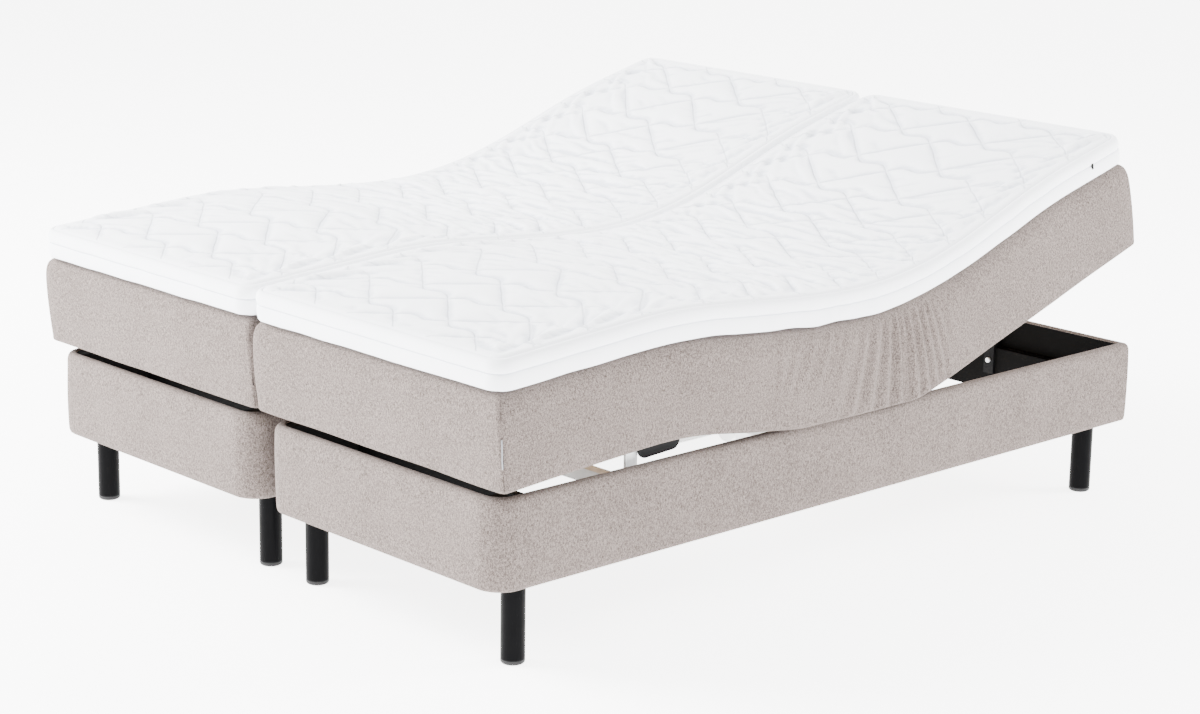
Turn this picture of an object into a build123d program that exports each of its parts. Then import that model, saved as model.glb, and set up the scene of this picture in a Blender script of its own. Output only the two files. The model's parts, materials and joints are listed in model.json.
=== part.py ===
"""Adjustable double bed: two motorised units side by side, each with its own upholstered base,
legs, hinged four-section frame, twin lifting drive, sectioned mattress and topper.

Millimetres. X runs across the bed, Y from the foot end (-Y) to the head end (+Y), Z up from the floor.
Every section is drawn lying flat and is then turned about its hinge to the stored posture.
"""

import os
from math import cos, pi, radians, sin, tan

from build123d import *

# ---- driving dimensions -------------------------------------------------------------------
UNIT_PITCH = 800  # centre to centre of the two units
MATTRESS_WIDTH = 798
BASE_WIDTH, BASE_LENGTH, BASE_HEIGHT = 750, 2000, 190
LEG_HEIGHT = 170  # floor to the underside of the base
LEG_RADIUS = 25
LEG_SIDE_INSET, LEG_END_INSET = 58, 94  # leg axis from the base's outer faces
FOOT_CORNER_RADIUS, HEAD_CORNER_RADIUS = 60, 12
COVER = 4  # upholstery on the base
BOARD = 18  # base boards
BOARD_ROUND = 8  # round along the boards' top outer edges

FOOT_END_Y, HEAD_END_Y = -1008, 992  # mattress ends when flat
KNEE_Y, THIGH_HINGE_Y, BACK_HINGE_Y = -517, -164, 204
PIVOT_Z = 400
BACK_REST_DEG, BACK_TOP_DEG = 18.5, 60.0
THIGH_REST_DEG, THIGH_TOP_DEG = 7.3, 30.0
CALF_DROP_RATIO = 1.43  # knee bend per degree of thigh lift

MATTRESS_BOTTOM, MATTRESS_TOP, TOPPER_TOP = 362, 566, 636
BORDER = 15  # upholstered border boards round the mattress
RAIL_OUT, RAIL_WIDTH, RAIL_HEIGHT = 360, 20, 40  # outer face from the unit's centre
RAIL_SETBACK = 10  # rail end from the hinge axis
LUG, LUG_RADIUS, LUG_REACH = 5, 17, 45
HINGE_BOLT_RADIUS, RUNNING_CLEARANCE = 5, 0.05
SLAT_WIDTH, SLAT_THICK, SLAT_SETBACK = 60, 12, 30
TUBE = 40  # cross tubes between the rails
TUBE_WALL = 3

LEVER_LENGTH, LEVER_THICK, LEVER_TIP_RADIUS, LEVER_HALF_WIDTH = 110, 6, 15, 10
LEVER_INNER_X = 16
SPINDLE_RADIUS, SPINDLE_Z = 6, 288
HOUSING_HALF_WIDTH, HOUSING_WALL = 55, 4
HOUSING_FRONT_Y, HOUSING_BACK_Y = -229, 294
HOUSING_BOTTOM, HOUSING_TOP = 262, 350
SLIDER_LENGTH, SLIDER_HALF_WIDTH, SLIDER_BOTTOM, SLIDER_TOP = 60, 24, 270, 308
BACK_TIP_GAP, THIGH_TIP_GAP = 1.5, 0.8

BEARER_YS = (-80, 110)
BEARER_WIDTH, BEARER_HEIGHT = 30, 30
STAY_PIVOT_Y, STAY_LENGTH, STAY_X = -605, 156, 320
STAY_RATIO = 1.62
STAY_THICK, STAY_HALF_HEIGHT, STAY_PIN_RADIUS, STAY_SLOT_RADIUS = 6, 15, 4, 11

# ---- values that follow ---------------------------------------------------------------------
BASE_BOTTOM = LEG_HEIGHT
BASE_TOP = BASE_BOTTOM + BASE_HEIGHT
RIM = 3  # cover folded over the boards' edges
BOARD_LOW, BOARD_HIGH = BASE_BOTTOM + RIM, BASE_TOP - RIM
BOARD_OUT_X = BASE_WIDTH / 2 - COVER
BOARD_IN_X = BOARD_OUT_X - BOARD
BOARD_OUT_Y = BASE_LENGTH / 2 - COVER
BOARD_IN_Y = BOARD_OUT_Y - BOARD
RAIL_IN = RAIL_OUT - RAIL_WIDTH
RAIL_LOW, RAIL_HIGH = PIVOT_Z - RAIL_HEIGHT / 2, PIVOT_Z + RAIL_HEIGHT / 2
SLAT_TOP = RAIL_HIGH + SLAT_THICK
BEARER_TOP = RAIL_LOW
MARGIN_DEG = 1.0  # spare angle in each soft notch
BACK_NOTCH = BACK_TOP_DEG / 2 + MARGIN_DEG
THIGH_NOTCH = THIGH_TOP_DEG / 2 + MARGIN_DEG
KNEE_NOTCH = THIGH_TOP_DEG * CALF_DROP_RATIO / 2 + MARGIN_DEG
SOFT_GAP = 1.0
SIDES = (-1, 1)
UNITS = {"left": -UNIT_PITCH / 2, "right": UNIT_PITCH / 2}

X_AXIS = (1, 0, 0)
BACK_AXIS = Axis((0, BACK_HINGE_Y, PIVOT_Z), X_AXIS)
THIGH_AXIS = Axis((0, THIGH_HINGE_Y, PIVOT_Z), X_AXIS)
KNEE_AXIS = Axis((0, KNEE_Y, PIVOT_Z), X_AXIS)
STAY_AXIS = Axis((0, STAY_PIVOT_Y, PIVOT_Z), X_AXIS)


# ---- small makers ---------------------------------------------------------------------------
def block(x0, x1, y0, y1, z0, z1):
    return Pos((x0 + x1) / 2, (y0 + y1) / 2, (z0 + z1) / 2) * Box(x1 - x0, y1 - y0, z1 - z0)


def prism_along_x(points, x0, x1):
    """A solid whose outline in the Y-Z plane is the given points."""
    outline = Polyline(*[(x0, y, z) for y, z in points], close=True)
    return extrude(make_face(outline), amount=x1 - x0, dir=X_AXIS)


def rod_along_x(radius, x0, x1, y, z):
    return Pos((x0 + x1) / 2, y, z) * Rot(0, 90, 0) * Cylinder(radius, x1 - x0)


def rod_along_y(radius, y0, y1, x, z):
    return Pos(x, (y0 + y1) / 2, z) * Rot(90, 0, 0) * Cylinder(radius, y1 - y0)


def rod_along_z(radius, z0, z1, x, y):
    return Pos(x, y, (z0 + z1) / 2) * Cylinder(radius, z1 - z0)


def bar_along_x(start, end, radius, x0, x1):
    """A flat bar with round ends that runs from one (y, z) point to another."""
    (y0, z0), (y1, z1) = start, end
    length = ((y1 - y0) ** 2 + (z1 - z0) ** 2) ** 0.5
    ny, nz = -(z1 - z0) / length * radius, (y1 - y0) / length * radius
    strip = [(y0 + ny, z0 + nz), (y1 + ny, z1 + nz), (y1 - ny, z1 - nz), (y0 - ny, z0 - nz)]
    body = prism_along_x(strip, x0, x1)
    return body + rod_along_x(radius, x0, x1, y0, z0) + rod_along_x(radius, x0, x1, y1, z1)


def tube_along_x(x0, x1, y0, y1, z0, z1):
    """Square steel tube, open at both ends."""
    wall = TUBE_WALL
    return block(x0, x1, y0, y1, z0, z1) - block(x0, x1, y0 + wall, y1 - wall, z0 + wall, z1 - wall)


def mirrored(x0, x1, side):
    """The two X limits of a piece on one side of the unit, smallest first."""
    return (x0, x1) if side > 0 else (-x1, -x0)


def rounded_outline(half_x, half_y, foot_radius, head_radius):
    """Plan outline of the base, centred on the unit."""
    outline = Rectangle(2 * half_x, 2 * half_y)
    foot, head = outline.vertices().group_by(Axis.Y)[0], outline.vertices().group_by(Axis.Y)[-1]
    outline = fillet(foot, foot_radius)
    head = outline.vertices().group_by(Axis.Y)[-1]
    return fillet(head, head_radius)


# ---- postures ---------------------------------------------------------------------------------
def stay_flat(shape):
    return shape


def lift_back(shape):
    return shape.rotate(BACK_AXIS, BACK_REST_DEG)


def lift_thigh(shape):
    return shape.rotate(THIGH_AXIS, -THIGH_REST_DEG)


def drop_calf(shape):
    return lift_thigh(shape.rotate(KNEE_AXIS, THIGH_REST_DEG * CALF_DROP_RATIO))


def swing_stay(shape):
    return shape.rotate(STAY_AXIS, -STAY_RATIO * THIGH_REST_DEG)


# ---- base ---------------------------------------------------------------------------------------
def board_envelope():
    """What the boards and corner posts fill: the cover's inside, rounded along its top edge."""
    half_x, half_y = BASE_WIDTH / 2 - COVER, BASE_LENGTH / 2 - COVER
    outline = rounded_outline(half_x, half_y, FOOT_CORNER_RADIUS - COVER, HEAD_CORNER_RADIUS - COVER)
    solid = extrude(Pos(0, 0, BOARD_LOW) * outline, BOARD_HIGH - BOARD_LOW)
    return fillet(solid.edges().group_by(Axis.Z)[-1], BOARD_ROUND)


def base_cover():
    """Padded fabric round the boards, folded over their top and bottom edges."""
    half_x, half_y = BASE_WIDTH / 2, BASE_LENGTH / 2
    outer = rounded_outline(half_x, half_y, FOOT_CORNER_RADIUS, HEAD_CORNER_RADIUS)
    fold = COVER + BOARD
    opening = rounded_outline(half_x - fold, half_y - fold, FOOT_CORNER_RADIUS - COVER, HEAD_CORNER_RADIUS - COVER)
    skin = extrude(Pos(0, 0, BASE_BOTTOM) * outer, BASE_HEIGHT)
    skin = fillet(skin.edges().group_by(Axis.Z)[-1], BOARD_ROUND + RIM)
    skin -= board_envelope()
    return skin - extrude(Pos(0, 0, BASE_BOTTOM) * opening, BASE_HEIGHT)


def corner_posts():
    """Quarter-round posts in the two foot corners."""
    radius = FOOT_CORNER_RADIUS - COVER
    posts = []
    for side in SIDES:
        x0, x1 = mirrored(BOARD_OUT_X - radius, BOARD_OUT_X, side)
        post = block(x0, x1, -BOARD_OUT_Y, -BOARD_OUT_Y + radius, BOARD_LOW, BOARD_HIGH)
        posts.append(post & board_envelope())
    return posts


def side_boards():
    boards = []
    for side in SIDES:
        x0, x1 = mirrored(BOARD_IN_X, BOARD_OUT_X, side)
        board = block(x0, x1, -BOARD_OUT_Y + FOOT_CORNER_RADIUS - COVER, BOARD_IN_Y, BOARD_LOW, BOARD_HIGH)
        bite = mirrored(BOARD_IN_X - 1, BOARD_IN_X + BEARER_BOLT_BITE, side)
        for y in (*BEARER_YS, STAY_PIVOT_Y):
            for hole in bearer_bolt_places(y):
                board -= rod_along_x(BEARER_BOLT_RADIUS, *bite, *hole)
        boards.append(board & board_envelope())
    return boards


def foot_board():
    half = BOARD_OUT_X - FOOT_CORNER_RADIUS + COVER
    return block(-half, half, -BOARD_OUT_Y, -BOARD_IN_Y, BOARD_LOW, BOARD_HIGH) & board_envelope()


def head_board():
    board = block(-BOARD_OUT_X, BOARD_OUT_X, BOARD_IN_Y, BOARD_OUT_Y, BOARD_LOW, BOARD_HIGH)
    return drill_headboard_holes(board & board_envelope())


BATTEN_THICK, BATTEN_TOP, FOOT_BATTEN_Y = 20, 282, -765
BRACKET_LOW, BRACKET_HIGH, BRACKET_WIDTH, BRACKET_THICK = 216, 320, 30, 8
BRACKET_BOLT_ZS = (250, 300)
HEADBOARD_HOLE_RADIUS, HEADBOARD_HOLE_Z, HEADBOARD_HOLE_X = 4.5, 230, 250


def drill_headboard_holes(shape):
    """Two through holes in the head end for a headboard's bolts."""
    for side in SIDES:
        shape -= rod_along_y(
            HEADBOARD_HOLE_RADIUS, BOARD_IN_Y - 2 * BATTEN_THICK, BASE_LENGTH / 2 + 1, side * HEADBOARD_HOLE_X, HEADBOARD_HOLE_Z
        )
    return shape


def cross_battens():
    """Low battens across the base: one inside the head end, one between the foot legs and the stays."""
    head = block(-BOARD_IN_X, BOARD_IN_X, BOARD_IN_Y - BATTEN_THICK, BOARD_IN_Y, BOARD_LOW, BATTEN_TOP)
    foot = block(-BOARD_IN_X, BOARD_IN_X, FOOT_BATTEN_Y, FOOT_BATTEN_Y + BATTEN_THICK, BOARD_LOW, BATTEN_TOP)
    return [drill_headboard_holes(head), foot]


def centre_bracket():
    """Upright steel strap in the middle of the head end, cranked over the batten's top."""
    face = BOARD_IN_Y - BATTEN_THICK
    strap = block(-BRACKET_WIDTH, 0, face - BRACKET_THICK, face, BRACKET_LOW, BRACKET_HIGH)
    strap += block(-BRACKET_WIDTH, 0, face - BRACKET_THICK, BOARD_IN_Y, BATTEN_TOP, BRACKET_HIGH)
    return strap


def bracket_bolts():
    face = BOARD_IN_Y - BATTEN_THICK - BRACKET_THICK
    return [rod_along_y(6, face - 5, face, -BRACKET_WIDTH / 2, z) for z in BRACKET_BOLT_ZS]


# ---- legs -----------------------------------------------------------------------------------------
GLIDE_HEIGHT, STUD_RADIUS, STUD_LOW, STUD_HIGH = 10, 5, 150, 205
LEG_BLOCK = (80, 70, 40)


def leg_places():
    x, y = BASE_WIDTH / 2 - LEG_SIDE_INSET, BASE_LENGTH / 2 - LEG_END_INSET
    return [(sx * x, sy * y) for sx in SIDES for sy in SIDES]


def leg(x, y):
    tube = rod_along_z(LEG_RADIUS, GLIDE_HEIGHT, BOARD_LOW, x, y)
    return tube - rod_along_z(STUD_RADIUS, STUD_LOW, BOARD_LOW, x, y)


def leg_glide(x, y):
    glide = rod_along_z(LEG_RADIUS, 0, GLIDE_HEIGHT, x, y)
    return fillet(glide.edges().group_by(Axis.Z)[0], 6)


def leg_stud(x, y):
    return rod_along_z(STUD_RADIUS, STUD_LOW, STUD_HIGH, x, y)


def leg_block(x, y):
    """Hardwood block that takes a leg's stud, glued inside the side board."""
    across, along, high = LEG_BLOCK
    x0, x1 = mirrored(BOARD_IN_X - across, BOARD_IN_X, 1 if x > 0 else -1)
    near_end = abs(y) - along / 2 - 3
    y0, y1 = (near_end, near_end + along) if y > 0 else (-near_end - along, -near_end)
    wood = block(x0, x1, y0, y1, BOARD_LOW, BOARD_LOW + high)
    return wood - rod_along_z(STUD_RADIUS, BOARD_LOW, STUD_HIGH, x, y)


# ---- bearers: cross tubes that carry the seat frame, the drive and the calf stays -----------------
BEARER_PLATE, BEARER_PLATE_LOW, BEARER_BOLT_RADIUS, BEARER_BOLT_BITE = 5, 285, 4, 14
BEARER_BOLT_SPREAD, BEARER_BOLT_Z, BEARER_PLATE_HALF = 26, 318, 38
STAY_BEARER_LOW, STAY_BEARER_HIGH = 290, 320
EAR_THICK, EAR_HALF_WIDTH = 6, 16


def bearer_bolt_places(y):
    """(y, z) of the two screws in each end plate, one on each side of the tube."""
    return [(y - BEARER_BOLT_SPREAD, BEARER_BOLT_Z), (y + BEARER_BOLT_SPREAD, BEARER_BOLT_Z)]


def bearer_plate(y, top, side):
    x0, x1 = mirrored(BOARD_IN_X - BEARER_PLATE, BOARD_IN_X, side)
    plate = block(x0, x1, y - BEARER_PLATE_HALF, y + BEARER_PLATE_HALF, BEARER_PLATE_LOW, top)
    for hole in bearer_bolt_places(y):
        plate -= rod_along_x(BEARER_BOLT_RADIUS, x0 - 1, x1 + 1, *hole)
    return plate


def seat_bearer(y):
    """Cross tube with a screwed plate at each end."""
    half = BOARD_IN_X - BEARER_PLATE
    y0, y1 = y - BEARER_WIDTH / 2, y + BEARER_WIDTH / 2
    tube = tube_along_x(-half, half, y0, y1, BEARER_TOP - BEARER_HEIGHT, BEARER_TOP)
    for side in SIDES:
        tube += bearer_plate(y, BOARD_HIGH, side)
    return tube


def stay_bearer():
    """Lower cross tube whose ears hold the calf stays' fixed pivots."""
    y, half = STAY_PIVOT_Y, BOARD_IN_X - BEARER_PLATE
    y0, y1 = y - BEARER_WIDTH / 2, y + BEARER_WIDTH / 2
    tube = tube_along_x(-half, half, y0, y1, STAY_BEARER_LOW, STAY_BEARER_HIGH)
    for side in SIDES:
        ear = mirrored(STAY_X + STAY_THICK, STAY_X + STAY_THICK + EAR_THICK, side)
        pin = mirrored(STAY_X - STAY_THICK, STAY_X + STAY_THICK, side)
        tube += bearer_plate(y, BOARD_HIGH, side)
        tube += block(*ear, y - EAR_HALF_WIDTH, y + EAR_HALF_WIDTH, STAY_BEARER_HIGH, PIVOT_Z)
        tube += rod_along_x(EAR_HALF_WIDTH - 4, *ear, y, PIVOT_Z)
        tube += rod_along_x(HINGE_BOLT_RADIUS, *pin, y, PIVOT_Z)
    return tube


def bearer_bolts():
    """Round-headed wood screws through the plates into the side boards."""
    bolts = []
    for y in (*BEARER_YS, STAY_PIVOT_Y):
        for side in SIDES:
            for hole in bearer_bolt_places(y):
                shank = mirrored(BOARD_IN_X - BEARER_PLATE, BOARD_IN_X + BEARER_BOLT_BITE, side)
                head = mirrored(BOARD_IN_X - BEARER_PLATE - 5, BOARD_IN_X - BEARER_PLATE, side)
                bolts.append(rod_along_x(BEARER_BOLT_RADIUS, *shank, *hole) + rod_along_x(8, *head, *hole))
    return bolts


# ---- section frames ---------------------------------------------------------------------------------
def hinge_hole(y, side):
    radius = HINGE_BOLT_RADIUS + RUNNING_CLEARANCE
    return rod_along_x(radius, *mirrored(RAIL_IN - 2 * LUG, RAIL_OUT + 2 * LUG, side), y, PIVOT_Z)


def rail(y0, y1, low_lug, high_lug, side):
    """Side rail from hinge to hinge. A lug is "outer", "inner" or None, where the rail just ends."""
    half = RAIL_HEIGHT / 2
    start = y0 + RAIL_SETBACK if low_lug else y0
    end = y1 - RAIL_SETBACK if high_lug else y1
    body = block(*mirrored(RAIL_IN, RAIL_OUT, side), start + half * bool(low_lug), end - half * bool(high_lug), RAIL_LOW, RAIL_HIGH)
    for lug, hinge, centre, inward in ((low_lug, y0, start + half, 1), (high_lug, y1, end - half, -1)):
        if not lug:
            continue
        body += rod_along_x(half, *mirrored(RAIL_IN, RAIL_OUT, side), centre, PIVOT_Z)
        place = (RAIL_OUT, RAIL_OUT + LUG) if lug == "outer" else (RAIL_IN - LUG, RAIL_IN)
        body += bar_along_x((hinge, PIVOT_Z), (hinge + inward * LUG_REACH, PIVOT_Z), LUG_RADIUS, *mirrored(*place, side))
        body -= hinge_hole(hinge, side)
    return body


def cross_tube(y0, y1):
    return tube_along_x(-RAIL_IN, RAIL_IN, y0, y1, RAIL_LOW, RAIL_HIGH)


def cross_flat(y0, y1):
    return block(-RAIL_IN, RAIL_IN, y0, y1, RAIL_HIGH - CROSS_FLAT, RAIL_HIGH)


def lever(hinge_y, tube_face_y, tilt_deg):
    """One cranked lever plate: from the cross tube to the hinge line and down to the drive."""
    tip_y = hinge_y + LEVER_LENGTH * sin(radians(tilt_deg))
    tip_z = PIVOT_Z - LEVER_LENGTH * cos(radians(tilt_deg))
    pieces = []
    for side in SIDES:
        x0, x1 = mirrored(LEVER_INNER_X, LEVER_INNER_X + LEVER_THICK, side)
        arm = block(x0, x1, min(hinge_y, tube_face_y), max(hinge_y, tube_face_y), PIVOT_Z - 14, PIVOT_Z + 10)
        arm += bar_along_x((hinge_y, PIVOT_Z - 2), (tip_y, tip_z), LEVER_HALF_WIDTH, x0, x1)
        pieces.append(arm + rod_along_x(LEVER_TIP_RADIUS, x0, x1, tip_y, tip_z))
    return pieces


KNEE_PLATE_BACK, KNEE_PLATE_AHEAD, KNEE_PLATE_DROP, KNEE_PLATE_RADIUS = 82, 34, 78, 20
KNEE_PLATE_CLEAR = 10
CROSS_FLAT, CALF_FLATS = 4, (-870, -637)


def knee_plate(side):
    """Deep hinge plate under the calf rail, with a rounded nose."""
    x0, x1 = mirrored(RAIL_IN - LUG, RAIL_IN, side)
    y0, y1 = KNEE_Y - KNEE_PLATE_BACK, KNEE_Y + KNEE_PLATE_AHEAD
    plate = block(x0, x1, y0, y1, PIVOT_Z - KNEE_PLATE_DROP, PIVOT_Z)
    nose = plate.edges().filter_by(Axis.X).sort_by_distance((x0, y1, PIVOT_Z - KNEE_PLATE_DROP))[0]
    tail = plate.edges().filter_by(Axis.X).sort_by_distance((x0, y0, PIVOT_Z - KNEE_PLATE_DROP))[0]
    plate = fillet([nose, tail], KNEE_PLATE_RADIUS)
    fall = THIGH_TOP_DEG * CALF_DROP_RATIO  # the nose stays under the slats when the knee is fully bent
    above = block(x0 - 1, x1 + 1, KNEE_Y - 40, y1 + 60, PIVOT_Z + KNEE_PLATE_CLEAR, PIVOT_Z + 120)
    return plate - above.rotate(KNEE_AXIS, -fall)


def seat_frame():
    pieces = [rail(THIGH_HINGE_Y, BACK_HINGE_Y, "outer", "outer", side) for side in SIDES]
    return pieces + [cross_tube(y - TUBE / 2, y + TUBE / 2) for y in BEARER_YS]


def back_frame():
    end = HEAD_END_Y - BORDER
    near = BACK_HINGE_Y + 80
    pieces = [rail(BACK_HINGE_Y, end - TUBE, "inner", None, side) for side in SIDES]
    pieces += [cross_tube(near, near + TUBE), cross_tube(600, 600 + TUBE)]
    pieces.append(tube_along_x(-RAIL_OUT, RAIL_OUT, end - TUBE, end, RAIL_LOW, RAIL_HIGH))
    return pieces + lever(BACK_HINGE_Y, near, -BACK_TOP_DEG / 2)


def thigh_frame():
    near, far = THIGH_HINGE_Y - 80, KNEE_Y + 112
    pieces = [rail(KNEE_Y, THIGH_HINGE_Y, "outer", "inner", side) for side in SIDES]
    pieces += [cross_tube(near - TUBE, near), cross_tube(far, far + TUBE)]
    return pieces + lever(THIGH_HINGE_Y, near, THIGH_TOP_DEG / 2)


def calf_frame():
    end = FOOT_END_Y + BORDER
    pieces = []
    for side in SIDES:
        side_rail = rail(end + TUBE, KNEE_Y, None, "inner", side) + knee_plate(side)
        pin = mirrored(STAY_X - STAY_THICK, RAIL_IN, side)
        side_rail += rod_along_x(STAY_PIN_RADIUS, *pin, STAY_PIVOT_Y - STAY_LENGTH, PIVOT_Z)
        pieces.append(side_rail - hinge_hole(KNEE_Y, side))
    pieces.append(tube_along_x(-RAIL_OUT, RAIL_OUT, end, end + TUBE, RAIL_LOW, RAIL_HIGH))
    pieces += [cross_flat(y, y + TUBE) for y in CALF_FLATS]
    return pieces


def slats(y0, y1):
    """Evenly spread slats between two Y limits."""
    run = y1 - y0 - SLAT_WIDTH
    count = int(run / (SLAT_WIDTH * 1.55)) + 1
    pitch = run / (count - 1)
    half = MATTRESS_WIDTH / 2 - BORDER - 5
    return [block(-half, half, y0 + i * pitch, y0 + i * pitch + SLAT_WIDTH, RAIL_HIGH, SLAT_TOP) for i in range(count)]


def calf_stay():
    """Pair of links that carry the calf section, drawn flat."""
    links = []
    far = STAY_PIVOT_Y - STAY_LENGTH
    for side in SIDES:
        x0, x1 = mirrored(STAY_X - STAY_THICK / 2, STAY_X + STAY_THICK / 2, side)
        link = bar_along_x((STAY_PIVOT_Y, PIVOT_Z), (far, PIVOT_Z), STAY_HALF_HEIGHT, x0, x1)
        link -= rod_along_x(HINGE_BOLT_RADIUS + RUNNING_CLEARANCE, x0 - 1, x1 + 1, STAY_PIVOT_Y, PIVOT_Z)
        link -= rod_along_x(STAY_SLOT_RADIUS, x0 - 1, x1 + 1, far, PIVOT_Z)
        links.append(link)
    return links


def hinge_bolt(y, side):
    """Shank, head and nut of one hinge bolt, with its nut just clear of the inner lug."""
    shank = rod_along_x(HINGE_BOLT_RADIUS, *mirrored(RAIL_IN - LUG - 6.5, RAIL_OUT + LUG, side), y, PIVOT_Z)
    head = rod_along_x(8.5, *mirrored(RAIL_OUT + LUG, RAIL_OUT + LUG + 6, side), y, PIVOT_Z)
    nut = rod_along_x(8.5, *mirrored(RAIL_IN - LUG - 6.5, RAIL_IN - LUG - 0.5, side), y, PIVOT_Z)
    return shank + head + nut


# ---- soft sections ------------------------------------------------------------------------------------
def face_y(hinge_y, side, z, above_deg, below_deg):
    """Y of a section's end face at height z, kept clear of its neighbour over the whole bend."""
    above, below = max(0, z - PIVOT_Z), max(0, PIVOT_Z - z)
    return hinge_y + side * (SOFT_GAP + above * tan(radians(above_deg)) + below * tan(radians(below_deg)))


def end_points(hinge, z0, z1, side):
    """(y, z) points up a section's end. hinge is a plain Y, or (Y, notch above, notch below the pivot)."""
    if not isinstance(hinge, tuple):
        return [(hinge, z0), (hinge, z1)]
    levels = [z0, PIVOT_Z, z1] if z0 < PIVOT_Z < z1 else [z0, z1]
    return [(face_y(hinge[0], side, z, hinge[1], hinge[2]), z) for z in levels]


def section_prism(low, high, x0, x1, z0, z1):
    low_side, high_side = end_points(low, z0, z1, 1), end_points(high, z0, z1, -1)
    return prism_along_x(low_side + high_side[::-1], x0, x1)


def mattress_section(low, high):
    """Spring and foam core with its border boards, as separate solids."""
    half = MATTRESS_WIDTH / 2
    core_low = low if isinstance(low, tuple) else low + BORDER
    core_high = high if isinstance(high, tuple) else high - BORDER
    pieces = [section_prism(core_low, core_high, -half + BORDER, half - BORDER, SLAT_TOP, MATTRESS_TOP)]
    for side in SIDES:
        pieces.append(section_prism(low, high, *mirrored(half - BORDER, half, side), MATTRESS_BOTTOM, MATTRESS_TOP))
    for plain_end, y0 in ((low, low), (high, core_high)):
        if not isinstance(plain_end, tuple):
            pieces.append(block(-half + BORDER, half - BORDER, y0, y0 + BORDER, MATTRESS_BOTTOM, MATTRESS_TOP))
    return pieces


TOPPER_CORNER_RADIUS = 60


def topper_section(low, high):
    half = MATTRESS_WIDTH / 2
    slab = section_prism(low, high, -half, half, MATTRESS_TOP, TOPPER_TOP)
    for plain_end, place in ((low, 0), (high, -1)):
        if not isinstance(plain_end, tuple):
            corners = slab.edges().filter_by(Axis.Z).group_by(Axis.Y)[place]
            slab = fillet(corners, TOPPER_CORNER_RADIUS)
    return slab


# ---- lifting drive ------------------------------------------------------------------------------------
def drive_housing():
    """Open-topped trough that hangs from the seat bearers."""
    half = HOUSING_HALF_WIDTH
    trough = block(-half, half, HOUSING_FRONT_Y, HOUSING_BACK_Y, HOUSING_BOTTOM, HOUSING_TOP)
    wall = HOUSING_WALL
    trough -= block(
        -half + wall, half - wall, HOUSING_FRONT_Y + wall, HOUSING_BACK_Y - wall, HOUSING_BOTTOM + wall, HOUSING_TOP
    )
    for end in (HOUSING_FRONT_Y, HOUSING_BACK_Y - wall):
        trough -= rod_along_y(SPINDLE_RADIUS, end - 1, end + wall + 1, 0, SPINDLE_Z)
    return trough


GEARBOX_Y = (-15, 45)
MOTOR_RADIUS, MOTOR_LENGTH = 27, 115


def drive_motors():
    """Gear block in the trough's middle with two motor cans side by side under its head end."""
    low, high = GEARBOX_Y
    top = block(-45, 45, low, high, HOUSING_BOTTOM + HOUSING_WALL, SLIDER_TOP + 8)
    for y0, y1 in ((low, low + 20), (high - 20, high)):
        top -= rod_along_y(SPINDLE_RADIUS, y0, y1, 0, SPINDLE_Z)
    motors = [top]
    centre_z = HOUSING_BOTTOM - MOTOR_RADIUS - 3
    for side in SIDES:
        x, y0 = side * (MOTOR_RADIUS + 1), high - 10
        can = rod_along_y(MOTOR_RADIUS, y0, y0 + MOTOR_LENGTH, x, centre_z)
        motors.append(can + block(x - 15, x + 15, y0, y0 + 40, centre_z, HOUSING_BOTTOM))
    return motors


def drive_spindles():
    wall = HOUSING_WALL
    low, high = GEARBOX_Y
    return [
        rod_along_y(SPINDLE_RADIUS, HOUSING_FRONT_Y, low + 20, 0, SPINDLE_Z),
        rod_along_y(SPINDLE_RADIUS, high - 20, HOUSING_BACK_Y, 0, SPINDLE_Z),
    ]


def slider(push_face_y, direction):
    """Nylon push block on its spindle. direction is the way that it pushes."""
    back = push_face_y - direction * SLIDER_LENGTH
    y0, y1 = min(back, push_face_y), max(back, push_face_y)
    body = block(-SLIDER_HALF_WIDTH, SLIDER_HALF_WIDTH, y0, y1, SLIDER_BOTTOM, SLIDER_TOP)
    return body - rod_along_y(SPINDLE_RADIUS + RUNNING_CLEARANCE, y0 - 1, y1 + 1, 0, SPINDLE_Z)


def slider_travel(top_deg):
    """Slider travel in mm per radian of its section: the lever swings evenly about its hinge's plumb line."""
    return 2 * LEVER_LENGTH * sin(radians(top_deg / 2)) / radians(top_deg)


def head_slider():
    flat_face = BACK_HINGE_Y - LEVER_LENGTH * sin(radians(BACK_TOP_DEG / 2)) - LEVER_TIP_RADIUS - BACK_TIP_GAP
    return slider(flat_face + slider_travel(BACK_TOP_DEG) * radians(BACK_REST_DEG), 1)


def foot_slider():
    flat_face = THIGH_HINGE_Y + LEVER_LENGTH * sin(radians(THIGH_TOP_DEG / 2)) + LEVER_TIP_RADIUS + THIGH_TIP_GAP
    return slider(flat_face - slider_travel(THIGH_TOP_DEG) * radians(THIGH_REST_DEG), -1)


def control_box():
    """Drive electronics under the front bearer, with a mains inlet recess in its outer end."""
    y = BEARER_YS[0]
    case = block(110, 270, y - 55, y + 55, BEARER_TOP - BEARER_HEIGHT - 45, BEARER_TOP - BEARER_HEIGHT)
    case = fillet(case.edges().filter_by(Axis.Z), 8)
    return case - block(258, 271, y - 14, y + 14, BEARER_TOP - BEARER_HEIGHT - 34, BEARER_TOP - BEARER_HEIGHT - 12)


CATCH_X = 140


def foot_catch():
    """Small zinc angle under the foot end tube that centres the section on its base."""
    y0 = FOOT_END_Y + BORDER + 2
    angle = block(CATCH_X - 13, CATCH_X + 13, y0, y0 + 30, RAIL_LOW - 3, RAIL_LOW)
    return angle + block(CATCH_X - 13, CATCH_X + 13, y0, y0 + 3, RAIL_LOW - 16, RAIL_LOW - 3)


def joining_plates():
    """Steel straps that tie the two bases together from below."""
    reach = (UNIT_PITCH - BASE_WIDTH) / 2 + COVER + BOARD + 30
    return [block(-reach, reach, y - 20, y + 20, BASE_BOTTOM - 3, BASE_BOTTOM) for y in (-500, 500)]


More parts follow.
